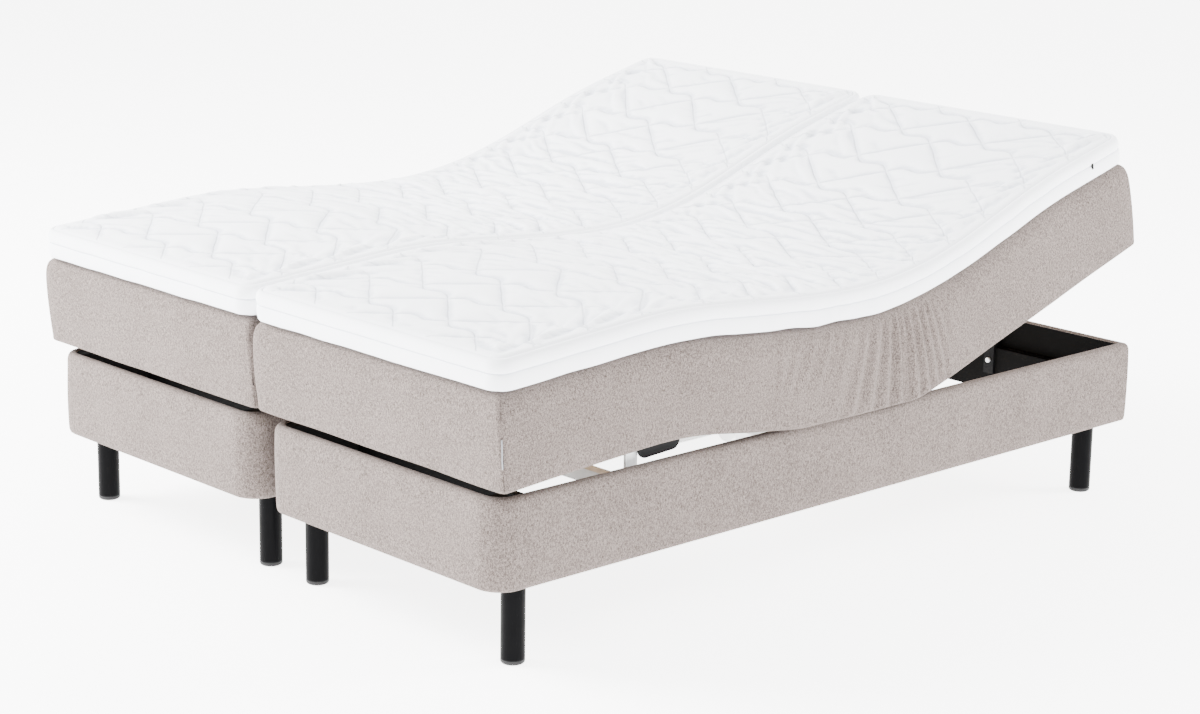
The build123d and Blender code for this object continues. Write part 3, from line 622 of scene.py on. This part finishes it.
def makeTopper(unit, material, seed):
    s = topper
    edgeX, low, high = s["half"] - s["corner"], bed["footEnd"] + 0.002, bed["headEnd"] - 0.002
    xs = spread([(-s["half"], 0), (-edgeX, 0.008), (edgeX, s["stepX"]), (s["half"], 0.008)])
    ys = spread([
        (low, 0), (low + s["corner"], 0.008), (bed["cuts"][0], s["stepY"]), (bed["cuts"][1], s["stepY"]),
        (high - s["corner"], s["stepY"]), (high, 0.008),
    ])
    flat, quads, kinds = padGrid(xs, ys, s["corner"], s["rim"])
    points = flat.copy()
    x, y = flat[:, 0], flat[:, 1]
    top = kinds == 0
    edge = np.minimum(s["half"] - np.abs(x), np.minimum(y - low, high - y)) - s["rim"][-1][0]
    inner = smooth(edge / 0.030)
    far = quiltLines(x, y)
    puff = quilt["puff"] * (1 - np.exp(-((far / quilt["groove"]) ** 1.5))) - 0.5 * quilt["puff"]
    # cross wrinkles: ridges at random, each several times longer across the bed than along it
    drift = 0.022 * softNoise(x / 0.21, y / 0.3, seed)
    ridge = softNoise(x / 0.20, (y + drift) / 0.042, seed + 1)
    ridge += 0.5 * softNoise(x / 0.12 + 9, (y + drift) / 0.024, seed + 2)
    wrinkle = quilt["wrinkle"] * squeeze(y) * (1 - 1.8 * np.abs(ridge)) * (0.35 + 0.65 * smooth(far / 0.014))
    sag = 0.0022 * softNoise(x / 0.35, y / 0.4, seed + 3)
    points[:, 2] += np.where(top, inner * (puff + wrinkle + sag), 0)
    # the border: soft waves, deeper where it is squeezed
    out = rimNormals(flat, xs, ys)
    around = np.where(np.abs(out[:, 0]) > np.abs(out[:, 1]), y, x)
    level = np.clip((flat[:, 2] - 0.568) / 0.06, 0, 1)
    buckle = 0.0013 * softNoise(around / 0.05, level * 1.5 + 3, seed + 4)
    buckle += 0.0018 * squeeze(y) * softNoise(around / 0.020, level * 2 + 7, seed + 5)
    side = kinds == 2
    points += np.where(side, buckle * np.sin(np.pi * np.clip(level, 0.05, 0.95)), 0)[:, None] * out
    hemDepth = (1 - level) * (0.0010 + 0.0026 * np.clip(squeeze(y), 0, 1))
    hem = softNoise(around / 0.075, np.zeros(len(y)), seed + 6) * hemDepth
    points[:, 2] += np.where(side, hem, 0)
    points[:, 0] *= 1 - s["taper"] * smooth((y - 0.25) / 0.5)
    outer = 1 if units[unit] > 0 else -1
    points[:, 0] = np.clip(points[:, 0] * -outer, None, mattress["limit"]) * -outer
    placed = bent(points)
    nx, ny = len(xs), len(ys)
    height = (points[: nx * ny, 2] - flat[: nx * ny, 2]).reshape(nx, ny)
    grid = placed[: nx * ny].reshape(nx, ny, 3)
    within = inner[: nx * ny].reshape(nx, ny)[:, 1:]
    slack = s["slack"] * squeeze((ys[1:] + ys[:-1]) / 2)[None, :] * within
    centre = np.searchsorted(ys, 0.0)
    laid = []
    for extra in (slack + s["everywhere"], 0.0):
        along = unrolled(grid, extra)
        laid.append((along - along[:, centre : centre + 1]).ravel())
    lift = height.ravel()
    # the sheet lies flat for this: across the bed, length along it, and height
    threads = np.stack([flat[: nx * ny, 0] * 1.003, laid[0], lift], 1)
    squeezed = np.stack([flat[: nx * ny, 0], laid[1], lift], 1)
    hold = np.where(far[: nx * ny] < s["stitchHalf"], s["stitchHold"], 0.0)
    hold[edge[: nx * ny] < s["borderHold"]] = 1.0
    moved = settled(f"topperCloth_{unit}", threads, squeezed, gridQuads(nx, ny), hold, s["cloth"])
    print("topper cloth settled:", unit, "lifts", moved[:, 2].max().round(4), moved[:, 2].min().round(4))
    run = np.gradient(grid, axis=1).reshape(-1, 3)
    run[:, 0] = 0
    run /= np.linalg.norm(run, axis=1, keepdims=True)
    square = np.stack([run[:, 0], -run[:, 2], run[:, 1]], 1)
    lifted = np.clip(moved[:, 2], -0.4 * s["rise"], s["rise"])[:, None]
    placed[: nx * ny] += square * lifted + run * np.clip(moved[:, 1], -s["slide"], s["slide"])[:, None]
    height = height + lifted.reshape(nx, ny)
    # how far each point of the top lies below the mean of its neighbours, which the ticking paints as shade
    around = np.pad(height, s["reach"], mode="edge")
    steps = range(2 * s["reach"] + 1)
    mean = sum(around[i : i + nx, j : j + ny] for i in steps for j in steps) / len(steps) ** 2
    hollow = np.zeros(len(flat))
    hollow[: nx * ny] = (np.clip((mean - height) / s["deep"], 0, 1)).ravel() * inner[: nx * ny]
    ring = 2 * (nx + ny - 2)
    flange = 2 * nx * ny + (s["flange"] - 1) * ring
    # painted shade: the groove beside the flange is marked as nearly full hollow
    hollow[flange : flange + ring] = 0.9
    pieces = partedPad(f"topper_{unit}", placed, quads, flat, units[unit], material, hollow)
    bindPad(pieces, unit, "topper")


# knitted ticking, with painted shade: greyer in its creases, along the stitching and at the zip
def topperFinish():
    s = quilt
    f = Finish("quiltedTicking")
    place = f.place("cloth")
    x, y, z = f.split(place)
    nearest = None
    for side in (1, -1):
        middle = s["shift"] + (0 if side > 0 else s["wave"] / 2)
        run = (x - middle) * (side / s["wave"])
        angle = run * (2 * math.pi)
        wave = angle.sin() * s["first"] + (angle * 2).sin() * s["second"] + (angle * 3).sin() * s["third"]
        offset = (y - s["along"] + run * s["rise"] + wave * s["wave"]).mod(s["rise"])
        near = offset.lowest(s["rise"] - offset)
        nearest = near if nearest is None else nearest.lowest(near)
    onTop = f.remap(z, topper["rimHigh"], topper["rimHigh"] + 0.001, 0.0, 1.0)
    stitch = f.remap(nearest, 0.0010, 0.0042, 1.0, 0.0) * onTop
    knit = f.noise(f.stretched(place, 1.0, 0.5, 1.0), 620, 2, 0.5)
    clouds = f.noise(place, 14, 2, 0.5)
    zipBand = f.remap((z - 0.6029).abs(), 0.0006, 0.0018, 1.0, 0.0)
    colour = f.mix(clouds * 0.5 + knit * 0.3, (0.885, 0.905, 0.945), (0.945, 0.955, 0.975))
    hollow = f.split(f.place("hollow"))[0]
    # painted shade: creases, stitched lines and the zip band are mixed towards a bluish grey shade colour
    shade = (stitch * s["stitchShade"]).highest(zipBand * s["zipShade"]).highest(hollow * s["hollowShade"])
    colour = f.mix(shade, colour, s["shade"])
    height = knit * 0.35 - stitch
    return f.surface(
        Base_Color=colour, Roughness=0.85, Normal=f.bump(height, 0.0020, 0.7),
        Sheen_Weight=0.15, Sheen_Roughness=0.6, Specular_IOR_Level=0.2,
    )


mattress = {
    "half": 0.3985,
    "corner": 0.012,
    "rim": [
        (0.018, 0.430), (0.017, 0.420), (0.016, 0.395), (0.015, 0.372), (0.013, 0.3655),
        (0.009, 0.3625), (0.005, 0.3622), (0.0018, 0.3645), (0.0004, 0.3685), (0.0, 0.376),
        (-0.0008, 0.390), (-0.0016, 0.408), (-0.0022, 0.426), (-0.0026, 0.444), (-0.0028, 0.462),
        (-0.0026, 0.480), (-0.0022, 0.496), (-0.0016, 0.511), (-0.0006, 0.524), (0.0012, 0.535),
        (0.0042, 0.5445), (0.0086, 0.5525), (0.0145, 0.5585), (0.022, 0.5625), (0.032, 0.5645),
    ],
    "rimStep": 0.0075,  # longest step between the rim's points
    "limit": 0.3991,  # furthest that the side facing the other unit may stand out
    "gathered": (-0.28, 0.60),  # stretch of the side that is worked as cloth
    "folds": 12,
    "foldDepth": 0.0042,
    "foldMiddle": 0.13,  # the cloth is laid out from here, so that the folds fan out from it
    "cloth": {
        "frames": 34, "squeezeFrames": 14, "quality": 6, "mass": 0.2,
        "stretch": 25.0, "shear": 6.0, "bending": 20.0, "drag": 3.0, "pressure": 0.0,
    },
    "slack": 0.26,  # how much longer the cloth is than its place, where it is gathered most
    "proud": 0.0085, "sunk": 0.004,  # furthest that a fold may stand out, and a hollow go in
    "slide": 0.010,  # furthest that the cloth may shift along the bed
    "fade": 0.05,  # length over which the folds die away at the stretch's ends
    "blur": (0.1, 0.25, 0.3, 0.25, 0.1),
    "swell": 1.7,  # folds stand out this much more than the thin cloth's, for the wadding under them
}


# more steps along a line of points, none longer than the given one
def refined(line, step):
    line = np.array(line)
    parts = [line[:1]]
    for a, b in zip(line, line[1:]):
        count = max(1, int(np.ceil(np.linalg.norm(b - a) / step)))
        parts.append(a + (b - a) * (np.arange(1, count + 1) / count)[:, None])
    return np.concatenate(parts)


# Slight folds that the side cloth starts from: upright ones above the back hinge that lean towards it as they
# go down, and a few faint slanting ones by the thighs. Each is a bell curve across its own line, faded out at
# the shoulder and lower down.
def gathers(y, z, seed):
    rng = np.random.default_rng(seed)
    count = mattress["folds"]
    total = np.zeros_like(y)
    centres = np.linspace(0.055, 0.325, count) + rng.uniform(-0.006, 0.006, count)
    for centre in centres:
        lean = (0.225 - centre) * 1.1 + rng.uniform(-0.06, 0.06)
        reach = rng.uniform(0.10, 0.16)
        width = rng.uniform(0.0050, 0.0070)
        depth = rng.uniform(0.6, 1.0) * np.exp(-((centre - 0.20) / 0.13) ** 2)
        down = (0.552 - z) / reach
        off = y - centre - lean * (0.55 - z)
        total += depth * np.exp(-((off / width) ** 2)) * smooth(1.15 - down) * smooth((0.575 - z) / 0.035)
    for k in range(7):
        centre = -0.19 + 0.035 * k + rng.uniform(-0.01, 0.01)
        off = y - centre - rng.uniform(-0.5, -0.1) * (0.5 - z)
        total += rng.uniform(0.2, 0.5) * np.exp(-((off / 0.010) ** 2)) * np.exp(-(((z - 0.47) / 0.06) ** 2))
    return total * mattress["foldDepth"]


# how much longer than its place the side cloth is, which is what makes it gather
def sideSlack(y, z):
    height = np.clip((z - bed["bottom"]) / (bed["top"] - bed["bottom"]), 0, 1)
    fan = np.exp(-(((y - 0.195) / 0.105) ** 2)) * height**0.8
    faint = 0.16 * np.exp(-(((y + 0.09) / 0.10) ** 2)) * np.sin(np.pi * height)
    return mattress["slack"] * (fan + faint)


def makeMattress(unit, material, seed):
    s = mattress
    edgeX, low, high = s["half"] - s["corner"], bed["footEnd"], bed["headEnd"]
    xs = spread([(-s["half"], 0), (-edgeX, 0.003), (edgeX, 0.018), (s["half"], 0.003)])
    ys = spread([
        (low, 0), (low + s["corner"], 0.003), (bed["cuts"][0], 0.012), (s["gathered"][0], 0.006),
        (bed["cuts"][1], 0.0040), (0.40, 0.0032), (s["gathered"][1], 0.0048),
        (high - s["corner"], 0.012), (high, 0.003),
    ])
    rim = refined(s["rim"], s["rimStep"])
    flat, quads, kinds = padGrid(xs, ys, s["corner"], rim)
    points = flat.copy()
    out = rimNormals(flat, xs, ys)
    y, z = flat[:, 1], flat[:, 2]
    along = np.abs(out[:, 0]) > 0.9
    around = np.where(along, y, flat[:, 0])
    ripple = 0.0008 * softNoise(around / 0.11, z / 0.09, seed + 7)
    ripple += 0.0010 * softNoise(around / 0.30, z / 0.2, seed + 8)
    seam = ~along & (np.abs(out[:, 1]) < 0.93) & (np.abs(out[:, 1]) > 0.2)
    rimOnly = (kinds == 2) & (z > 0.361) & (np.hypot(out[:, 0], out[:, 1]) > 0.5)
    points += np.where(rimOnly, ripple - 0.0022 * seam, 0)[:, None] * out
    hem = 0.0016 * softNoise(around / 0.16, np.zeros(len(y)), seed + 9)  # the hem is not quite straight
    points[:, 2] += np.where(rimOnly, hem * np.clip((0.40 - z) / 0.04, 0, 1), 0)
    # the outer side's cloth as a grid: a row for each of the rim's steps between hem and shoulder, and columns
    # along the bed
    nx, ny = len(xs), len(ys)
    outer = 1 if units[unit] > 0 else -1
    rows = np.flatnonzero((rim[:, 1] > 0.3675) & (rim[:, 1] < 0.556) & (np.arange(len(rim)) > 4))
    columns = np.flatnonzero((ys > s["gathered"][0]) & (ys < s["gathered"][1]))
    ring = nx - 1 + columns if outer > 0 else 2 * (nx - 1) + (ny - 1) + (ny - 1 - columns)
    patch = 2 * nx * ny + (rows[:, None] - 1) * 2 * (nx - 1 + ny - 1) + ring[None, :]
    points[:, 0] = np.clip(points[:, 0] * -outer, None, s["limit"]) * -outer
    placed = bent(points)
    seedFold = gathers(y[patch], z[patch], seed)
    grid = placed[patch]
    midY = (y[patch][:, 1:] + y[patch][:, :-1]) / 2
    height = unrolled(grid.transpose(1, 0, 2), 0.0).T
    centre = np.searchsorted(ys[columns], s["foldMiddle"])
    laid = []
    for slack in (sideSlack(midY, z[patch][:, 1:]), 0.0):
        length = unrolled(grid, slack)
        laid.append(length - length[:, centre : centre + 1])
    threads = np.stack([seedFold, laid[0], height], -1).reshape(-1, 3)
    squeezed = np.stack([seedFold * 0, laid[1], height], -1).reshape(-1, 3)
    hold = np.zeros(patch.shape)
    hold[:2], hold[-2:], hold[:, :2], hold[:, -2:] = 1, 1, 1, 1
    cells = gridQuads(*patch.shape)
    moved = settled(f"sideCloth_{unit}", threads, squeezed, cells, hold.ravel(), s["cloth"])
    proud = moved[:, 0].reshape(patch.shape)
    # each point takes a weighted mean of its neighbours along the bed
    side = np.pad(proud, ((0, 0), (2, 2)), mode="edge")
    proud = sum(side[:, k : k + proud.shape[1]] * share for k, share in enumerate(s["blur"]))
    print("side cloth settled:", unit, "stands out", proud.max().round(4), proud.min().round(4))
    fromFoot, fromHead = y[patch] - s["gathered"][0], s["gathered"][1] - y[patch]
    ends = smooth(fromFoot / s["fade"]) * smooth(fromHead / s["fade"])
    proud = np.clip(s["swell"] * proud * ends, -s["sunk"], s["proud"])
    placed[patch, 0] += outer * proud
    # shift along the cloth, turned to lie along each row
    run = np.gradient(grid, axis=1)
    run /= np.linalg.norm(run, axis=2, keepdims=True)
    slide = np.clip(moved[:, 1].reshape(patch.shape), -s["slide"], s["slide"])
    placed[patch] += run * slide[:, :, None]
    pieces = partedPad(f"mattress_{unit}", placed, quads, flat, units[unit], material)
    bindPad(pieces, unit, "mattress")


baseCover = {
    "halfX": 0.375, "halfY": 1.0,
    "footCorner": 0.060, "headCorner": 0.013,
    "step": 0.010,
    "profile": [
        (0.0225, 0.3565), (0.0225, 0.3592), (0.0205, 0.3604), (0.0165, 0.3609), (0.0120, 0.3605),
        (0.0082, 0.3590), (0.0050, 0.3564), (0.0026, 0.3528), (0.0010, 0.3480), (0.0003, 0.3420),
        (0.0, 0.3330), (-0.0006, 0.3140), (-0.0010, 0.2950), (-0.0012, 0.2760), (-0.0012, 0.2560),
        (-0.0010, 0.2360), (-0.0006, 0.2160), (-0.0002, 0.2000), (0.0004, 0.1860), (0.0012, 0.1780),
        (0.0030, 0.1728), (0.0062, 0.1704), (0.0120, 0.1698), (0.0200, 0.1700), (0.0225, 0.1710),
        (0.0225, 0.1728), (0.0036, 0.1736), (0.0034, 0.3480), (0.0060, 0.3555), (0.0120, 0.3572),
    ],
}


# plan outline as points and outward directions: four straight runs and four quarter circles
def outlinePath(s):
    hx, hy, step = s["halfX"], s["halfY"], s["step"]
    corners = [(-1, -1, s["footCorner"]), (1, -1, s["footCorner"]), (1, 1, s["headCorner"]), (-1, 1, s["headCorner"])]
    points, normals = [], []
    for k, (sx, sy, radius) in enumerate(corners):
        start = math.pi + k * math.pi / 2
        arc = start + np.linspace(0, math.pi / 2, 15)
        centre = np.array([sx * (hx - radius), sy * (hy - radius)])
        direction = np.stack([np.cos(arc), np.sin(arc)], 1)
        points.append(centre + radius * direction)
        normals.append(direction)
        nx, ny, nextRadius = corners[(k + 1) % 4]
        end = np.array([nx * (hx - nextRadius), ny * (hy - nextRadius)]) + nextRadius * direction[-1]
        gap = np.linalg.norm(end - points[-1][-1])
        count = max(2, int(gap / step))
        run = np.linspace(0, 1, count + 1)[1:-1, None]
        points.append(points[-1][-1] * (1 - run) + end * run)
        normals.append(np.tile(direction[-1], (count - 1, 1)))
    return np.concatenate(points), np.concatenate(normals)


# a closed profile of (inset, z) carried round a closed outline
def carried(path, out, profile):
    inset, z = np.array(profile).T
    x = path[:, 0][:, None] - out[:, 0][:, None] * inset[None, :]
    y = path[:, 1][:, None] - out[:, 1][:, None] * inset[None, :]
    points = np.stack([x, y, np.broadcast_to(z, x.shape)], -1)
    n, m = x.shape
    i, j = np.meshgrid(np.arange(n), np.arange(m), indexing="ij")
    here, beside = i * m + j, ((i + 1) % n) * m + j
    above, both = i * m + (j + 1) % m, ((i + 1) % n) * m + (j + 1) % m
    quads = np.stack([here, above, both, beside], -1).reshape(-1, 4)
    return points.reshape(-1, 3), quads


def makeBaseCover(unit, material, seed):
    s = baseCover
    path, out = outlinePath(s)
    points, quads = carried(path, out, s["profile"])
    flat = points.copy()
    m = len(s["profile"])
    outward = np.repeat(np.c_[out, np.zeros(len(out))], m, 0)
    around = np.repeat(np.r_[0, np.cumsum(np.linalg.norm(np.diff(path, axis=0), axis=1))], m)
    level = points[:, 2]
    # the profile's last four points are inside the cover
    outside = np.tile((np.array(s["profile"])[:, 0] < 0.0030) & (np.arange(m) < m - 4), len(path))
    ripple = 0.0007 * softNoise(around / 0.09, level / 0.08, seed)
    ripple += 0.0008 * softNoise(around / 0.33, level / 0.2, seed + 1)
    points += outward * np.where(outside, ripple, 0)[:, None]
    piece = makeMesh(f"baseCover_{unit}", points + np.array([units[unit], 0, 0]), [quads], None, flat)
    piece.data.materials.append(material)
    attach(piece, "base")
    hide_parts(f"base_cover_{unit}")


seamLabel = {
    "name": "seamLabel", "middle": (mattress["half"] - 0.001, bed["footEnd"] + 0.001, 0.447),
    "halves": (0.0011, 0.0052, 0.030), "heading": -math.pi / 4, "section": "calf", "slot": "upholstery",
}
zipPull = {
    "name": "zipPull", "middle": (topper["half"] - 0.0018, 0.862, 0.6010),
    "halves": (0.0034, 0.0013, 0.0070), "heading": 0, "section": "back", "slot": "steel",
}


# A small upright tab. halves are half its size across, outward and up, and heading is the way that it points.
def makeTab(s, unit, material):
    across, out, up = s["halves"]
    middle = s["middle"]
    turn = np.linspace(0, 2 * np.pi, 25)[:-1]
    # a rounded outline: each coordinate is the half size times a power of the cosine or sine, which squares it up
    edgeA = np.sign(np.cos(turn)) * np.abs(np.cos(turn)) ** 0.4 * across
    edgeB = np.sign(np.sin(turn)) * np.abs(np.sin(turn)) ** 0.4 * out
    levels = np.array([-1, -0.97, -0.5, 0, 0.5, 0.97, 1]) * up
    inset = np.array([0.7, 1, 1, 1, 1, 1, 0.7])
    a = (inset[:, None] * edgeA).ravel()
    b = (inset[:, None] * edgeB).ravel()
    c = np.repeat(levels, len(turn))
    a = a + 0.12 * out * np.sin(c / up * 2.2)  # a slight wave
    cosH, sinH = math.cos(s["heading"]), math.sin(s["heading"])
    points = np.stack([middle[0] + b * cosH - a * sinH, middle[1] + b * sinH + a * cosH, middle[2] + c], 1)
    rows = np.arange(len(levels) * len(turn)).reshape(len(levels), -1)
    after = np.roll(rows, -1, axis=1)
    walls = np.stack([rows[:-1], after[:-1], after[1:], rows[1:]], -1).reshape(-1, 4)
    faces = [walls, rows[:1, ::-1], rows[-1:]]
    piece = makeMesh(f"{s['name']}_{unit}", bent(points) + np.array([units[unit], 0, 0]), faces, None, points)
    piece.data.materials.append(material)
    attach(piece, f"{s['section']}_{unit}")


def labelFinish():
    f = Finish("wovenLabel")
    place = f.place("cloth")
    weave = f.noise(f.stretched(place, 1, 1, 0.3), 900, 2, 0.5)
    colour = f.mix(weave, (0.17, 0.175, 0.19), (0.26, 0.27, 0.29))
    return f.surface(Base_Color=colour, Roughness=0.8, Normal=f.bump(weave, 0.0003, 0.5))


def lacquerFinish():
    f = Finish("blackLacquer")
    place = f.place()
    grain = f.noise(f.stretched(place, 1, 1, 0.08), 260, 4, 0.6)
    smudge = f.noise(place, 30, 2, 0.5)
    colour = f.mix(grain, (0.0007, 0.0007, 0.0009), (0.0018, 0.0018, 0.0022))
    return f.surface(
        Base_Color=colour, Roughness=f.remap(smudge, 0.3, 0.7, 0.34, 0.46), Normal=f.bump(grain, 0.0003, 0.3),
        Specular_IOR_Level=0.03,
    )


def boardFinish():
    f = Finish("stainedBoard")
    place = f.place()
    fibre = f.noise(f.stretched(place, 1, 0.12, 1), 180, 4, 0.6)
    colour = f.mix(fibre, (0.0010, 0.0010, 0.0010), (0.0030, 0.0029, 0.0028))
    return f.surface(Base_Color=colour, Roughness=0.7, Normal=f.bump(fibre, 0.0005, 0.4), Specular_IOR_Level=0.05)


def slatFinish():
    f = Finish("beechSlat")
    place = f.place()
    grain = f.noise(f.stretched(place, 0.1, 1, 1), 150, 5, 0.6)
    bands = f.noise(f.stretched(place, 0.3, 1, 1), 18, 2, 0.5)
    stops = [(0.35, (0.42, 0.25, 0.12)), (0.62, (0.66, 0.46, 0.27))]
    colour = f.node("ValToRGB", Fac=grain * 0.6 + bands * 0.4, stops=stops)
    rough = f.remap(grain, 0.3, 0.7, 0.38, 0.52)
    return f.surface(Base_Color=colour, Roughness=rough, Normal=f.bump(grain, 0.0003, 0.4))


def powderFinish():
    f = Finish("powderCoat")
    place = f.place()
    speckle = f.noise(place, 900, 2, 0.5)
    worn = f.noise(place, 25, 3, 0.6)
    colour = f.mix(worn, (0.0016, 0.0016, 0.0018), (0.0040, 0.0040, 0.0044))
    return f.surface(
        Base_Color=colour, Roughness=f.remap(worn, 0.3, 0.7, 0.42, 0.56), Normal=f.bump(speckle, 0.0004, 0.5),
        Specular_IOR_Level=0.09,
    )


def zincFinish():
    f = Finish("zincPlate")
    place = f.place()
    dull = f.noise(place, 60, 3, 0.5)
    colour = f.mix(dull, (0.70, 0.71, 0.72), (0.84, 0.84, 0.84))
    rough = f.remap(dull, 0.3, 0.7, 0.34, 0.52)
    return f.surface(Base_Color=colour, Metallic=0.45, Roughness=rough, Normal=f.bump(dull, 0.0002, 0.3))


def plasticFinish(name, low, high):
    f = Finish(name)
    place = f.place()
    pebble = f.noise(place, 1400, 2, 0.5)
    tint = f.noise(place, 20, 2, 0.5)
    return f.surface(
        Base_Color=f.mix(tint, low, high), Roughness=f.remap(tint, 0.3, 0.7, 0.48, 0.60),
        Normal=f.bump(pebble, 0.0003, 0.4), Specular_IOR_Level=0.25,
    )


finishes = {
    "black_wood": lacquerFinish(),
    "board_wood": boardFinish(),
    "slat_wood": slatFinish(),
    "black_steel": powderFinish(),
    "steel": zincFinish(),
    "black_plastic": plasticFinish("blackPlastic", (0.005, 0.005, 0.0055), (0.010, 0.010, 0.0105)),
    "white_plastic": plasticFinish("whiteNylon", (0.74, 0.74, 0.73), (0.86, 0.86, 0.85)),
}
for subpart in frame["record"]["subparts"]:
    thing = frame["nodes"].get(subpart["node"])
    finish = finishes.get(subpart["material_slot"])
    if thing and finish:
        thing.data.materials.clear()
        thing.data.materials.append(finish)
print("hard finishes set")

coverFinish = upholsteryFinish("upholstery", "cloth")
tickingFinish = topperFinish()
ribbonFinish = labelFinish()
for number, unit in enumerate(units):
    makeBaseCover(unit, coverFinish, 40 + number)
    makeMattress(unit, coverFinish, 60 + 20 * number)
    makeTopper(unit, tickingFinish, 3 + 10 * number)
    if unit == "right":
        makeTab(seamLabel, unit, ribbonFinish)
    makeTab(zipPull, unit, finishes["black_steel"])
    print("soft pieces made:", unit)


studio = {
    "floor": (0.75, 0.75, 0.75), "floorHalf": 30.0,
    "glow": 5.2,  # light that the floor gives out, so that it comes out nearly white
    "world": 2.7,
}


def makeStudio(s):
    mesh = bpy.data.meshes.new("floor")
    size = s["floorHalf"]
    mesh.from_pydata([(-size, -size, 0), (size, -size, 0), (size, size, 0), (-size, size, 0)], [], [(0, 1, 2, 3)])
    floor = bpy.data.objects.new("floor", mesh)
    bpy.context.scene.collection.objects.link(floor)
    f = Finish("paleFloor")
    mottle = f.noise(f.place(), 2.0, 2, 0.5)
    floor.data.materials.append(
        f.surface(
            Base_Color=f.mix(mottle, tuple(v * 0.99 for v in s["floor"]), s["floor"]), Roughness=0.95,
            Specular_IOR_Level=0.05, Emission_Color=(1, 1, 1, 1), Emission_Strength=s["glow"],
        )
    )
    world = bpy.data.worlds.new("studio")
    world.use_nodes = True
    world.node_tree.nodes["Background"].inputs[0].default_value = (1, 1, 1, 1)
    world.node_tree.nodes["Background"].inputs[1].default_value = s["world"]
    bpy.context.scene.world = world


# a square area lamp, size metres across, turned to face its aim
def makeLamp(name, place, aim, size, power):
    data = bpy.data.lights.new(name, "AREA")
    data.shape = "SQUARE"
    data.size = size
    data.energy = power
    lamp = bpy.data.objects.new(name, data)
    lamp.location = place
    lamp.rotation_euler = (Vector(aim) - Vector(place)).to_track_quat("-Z", "Y").to_euler()
    bpy.context.scene.collection.objects.link(lamp)


makeStudio(studio)
makeLamp("keyLamp", (-4.0, -3.6, 4.0), (0, 0, 0.4), 3.6, 2200)
makeLamp("sideLamp", (3.4, 4.4, 2.8), (0.4, 0, 0.4), 1.8, 560)
print("studio lit")
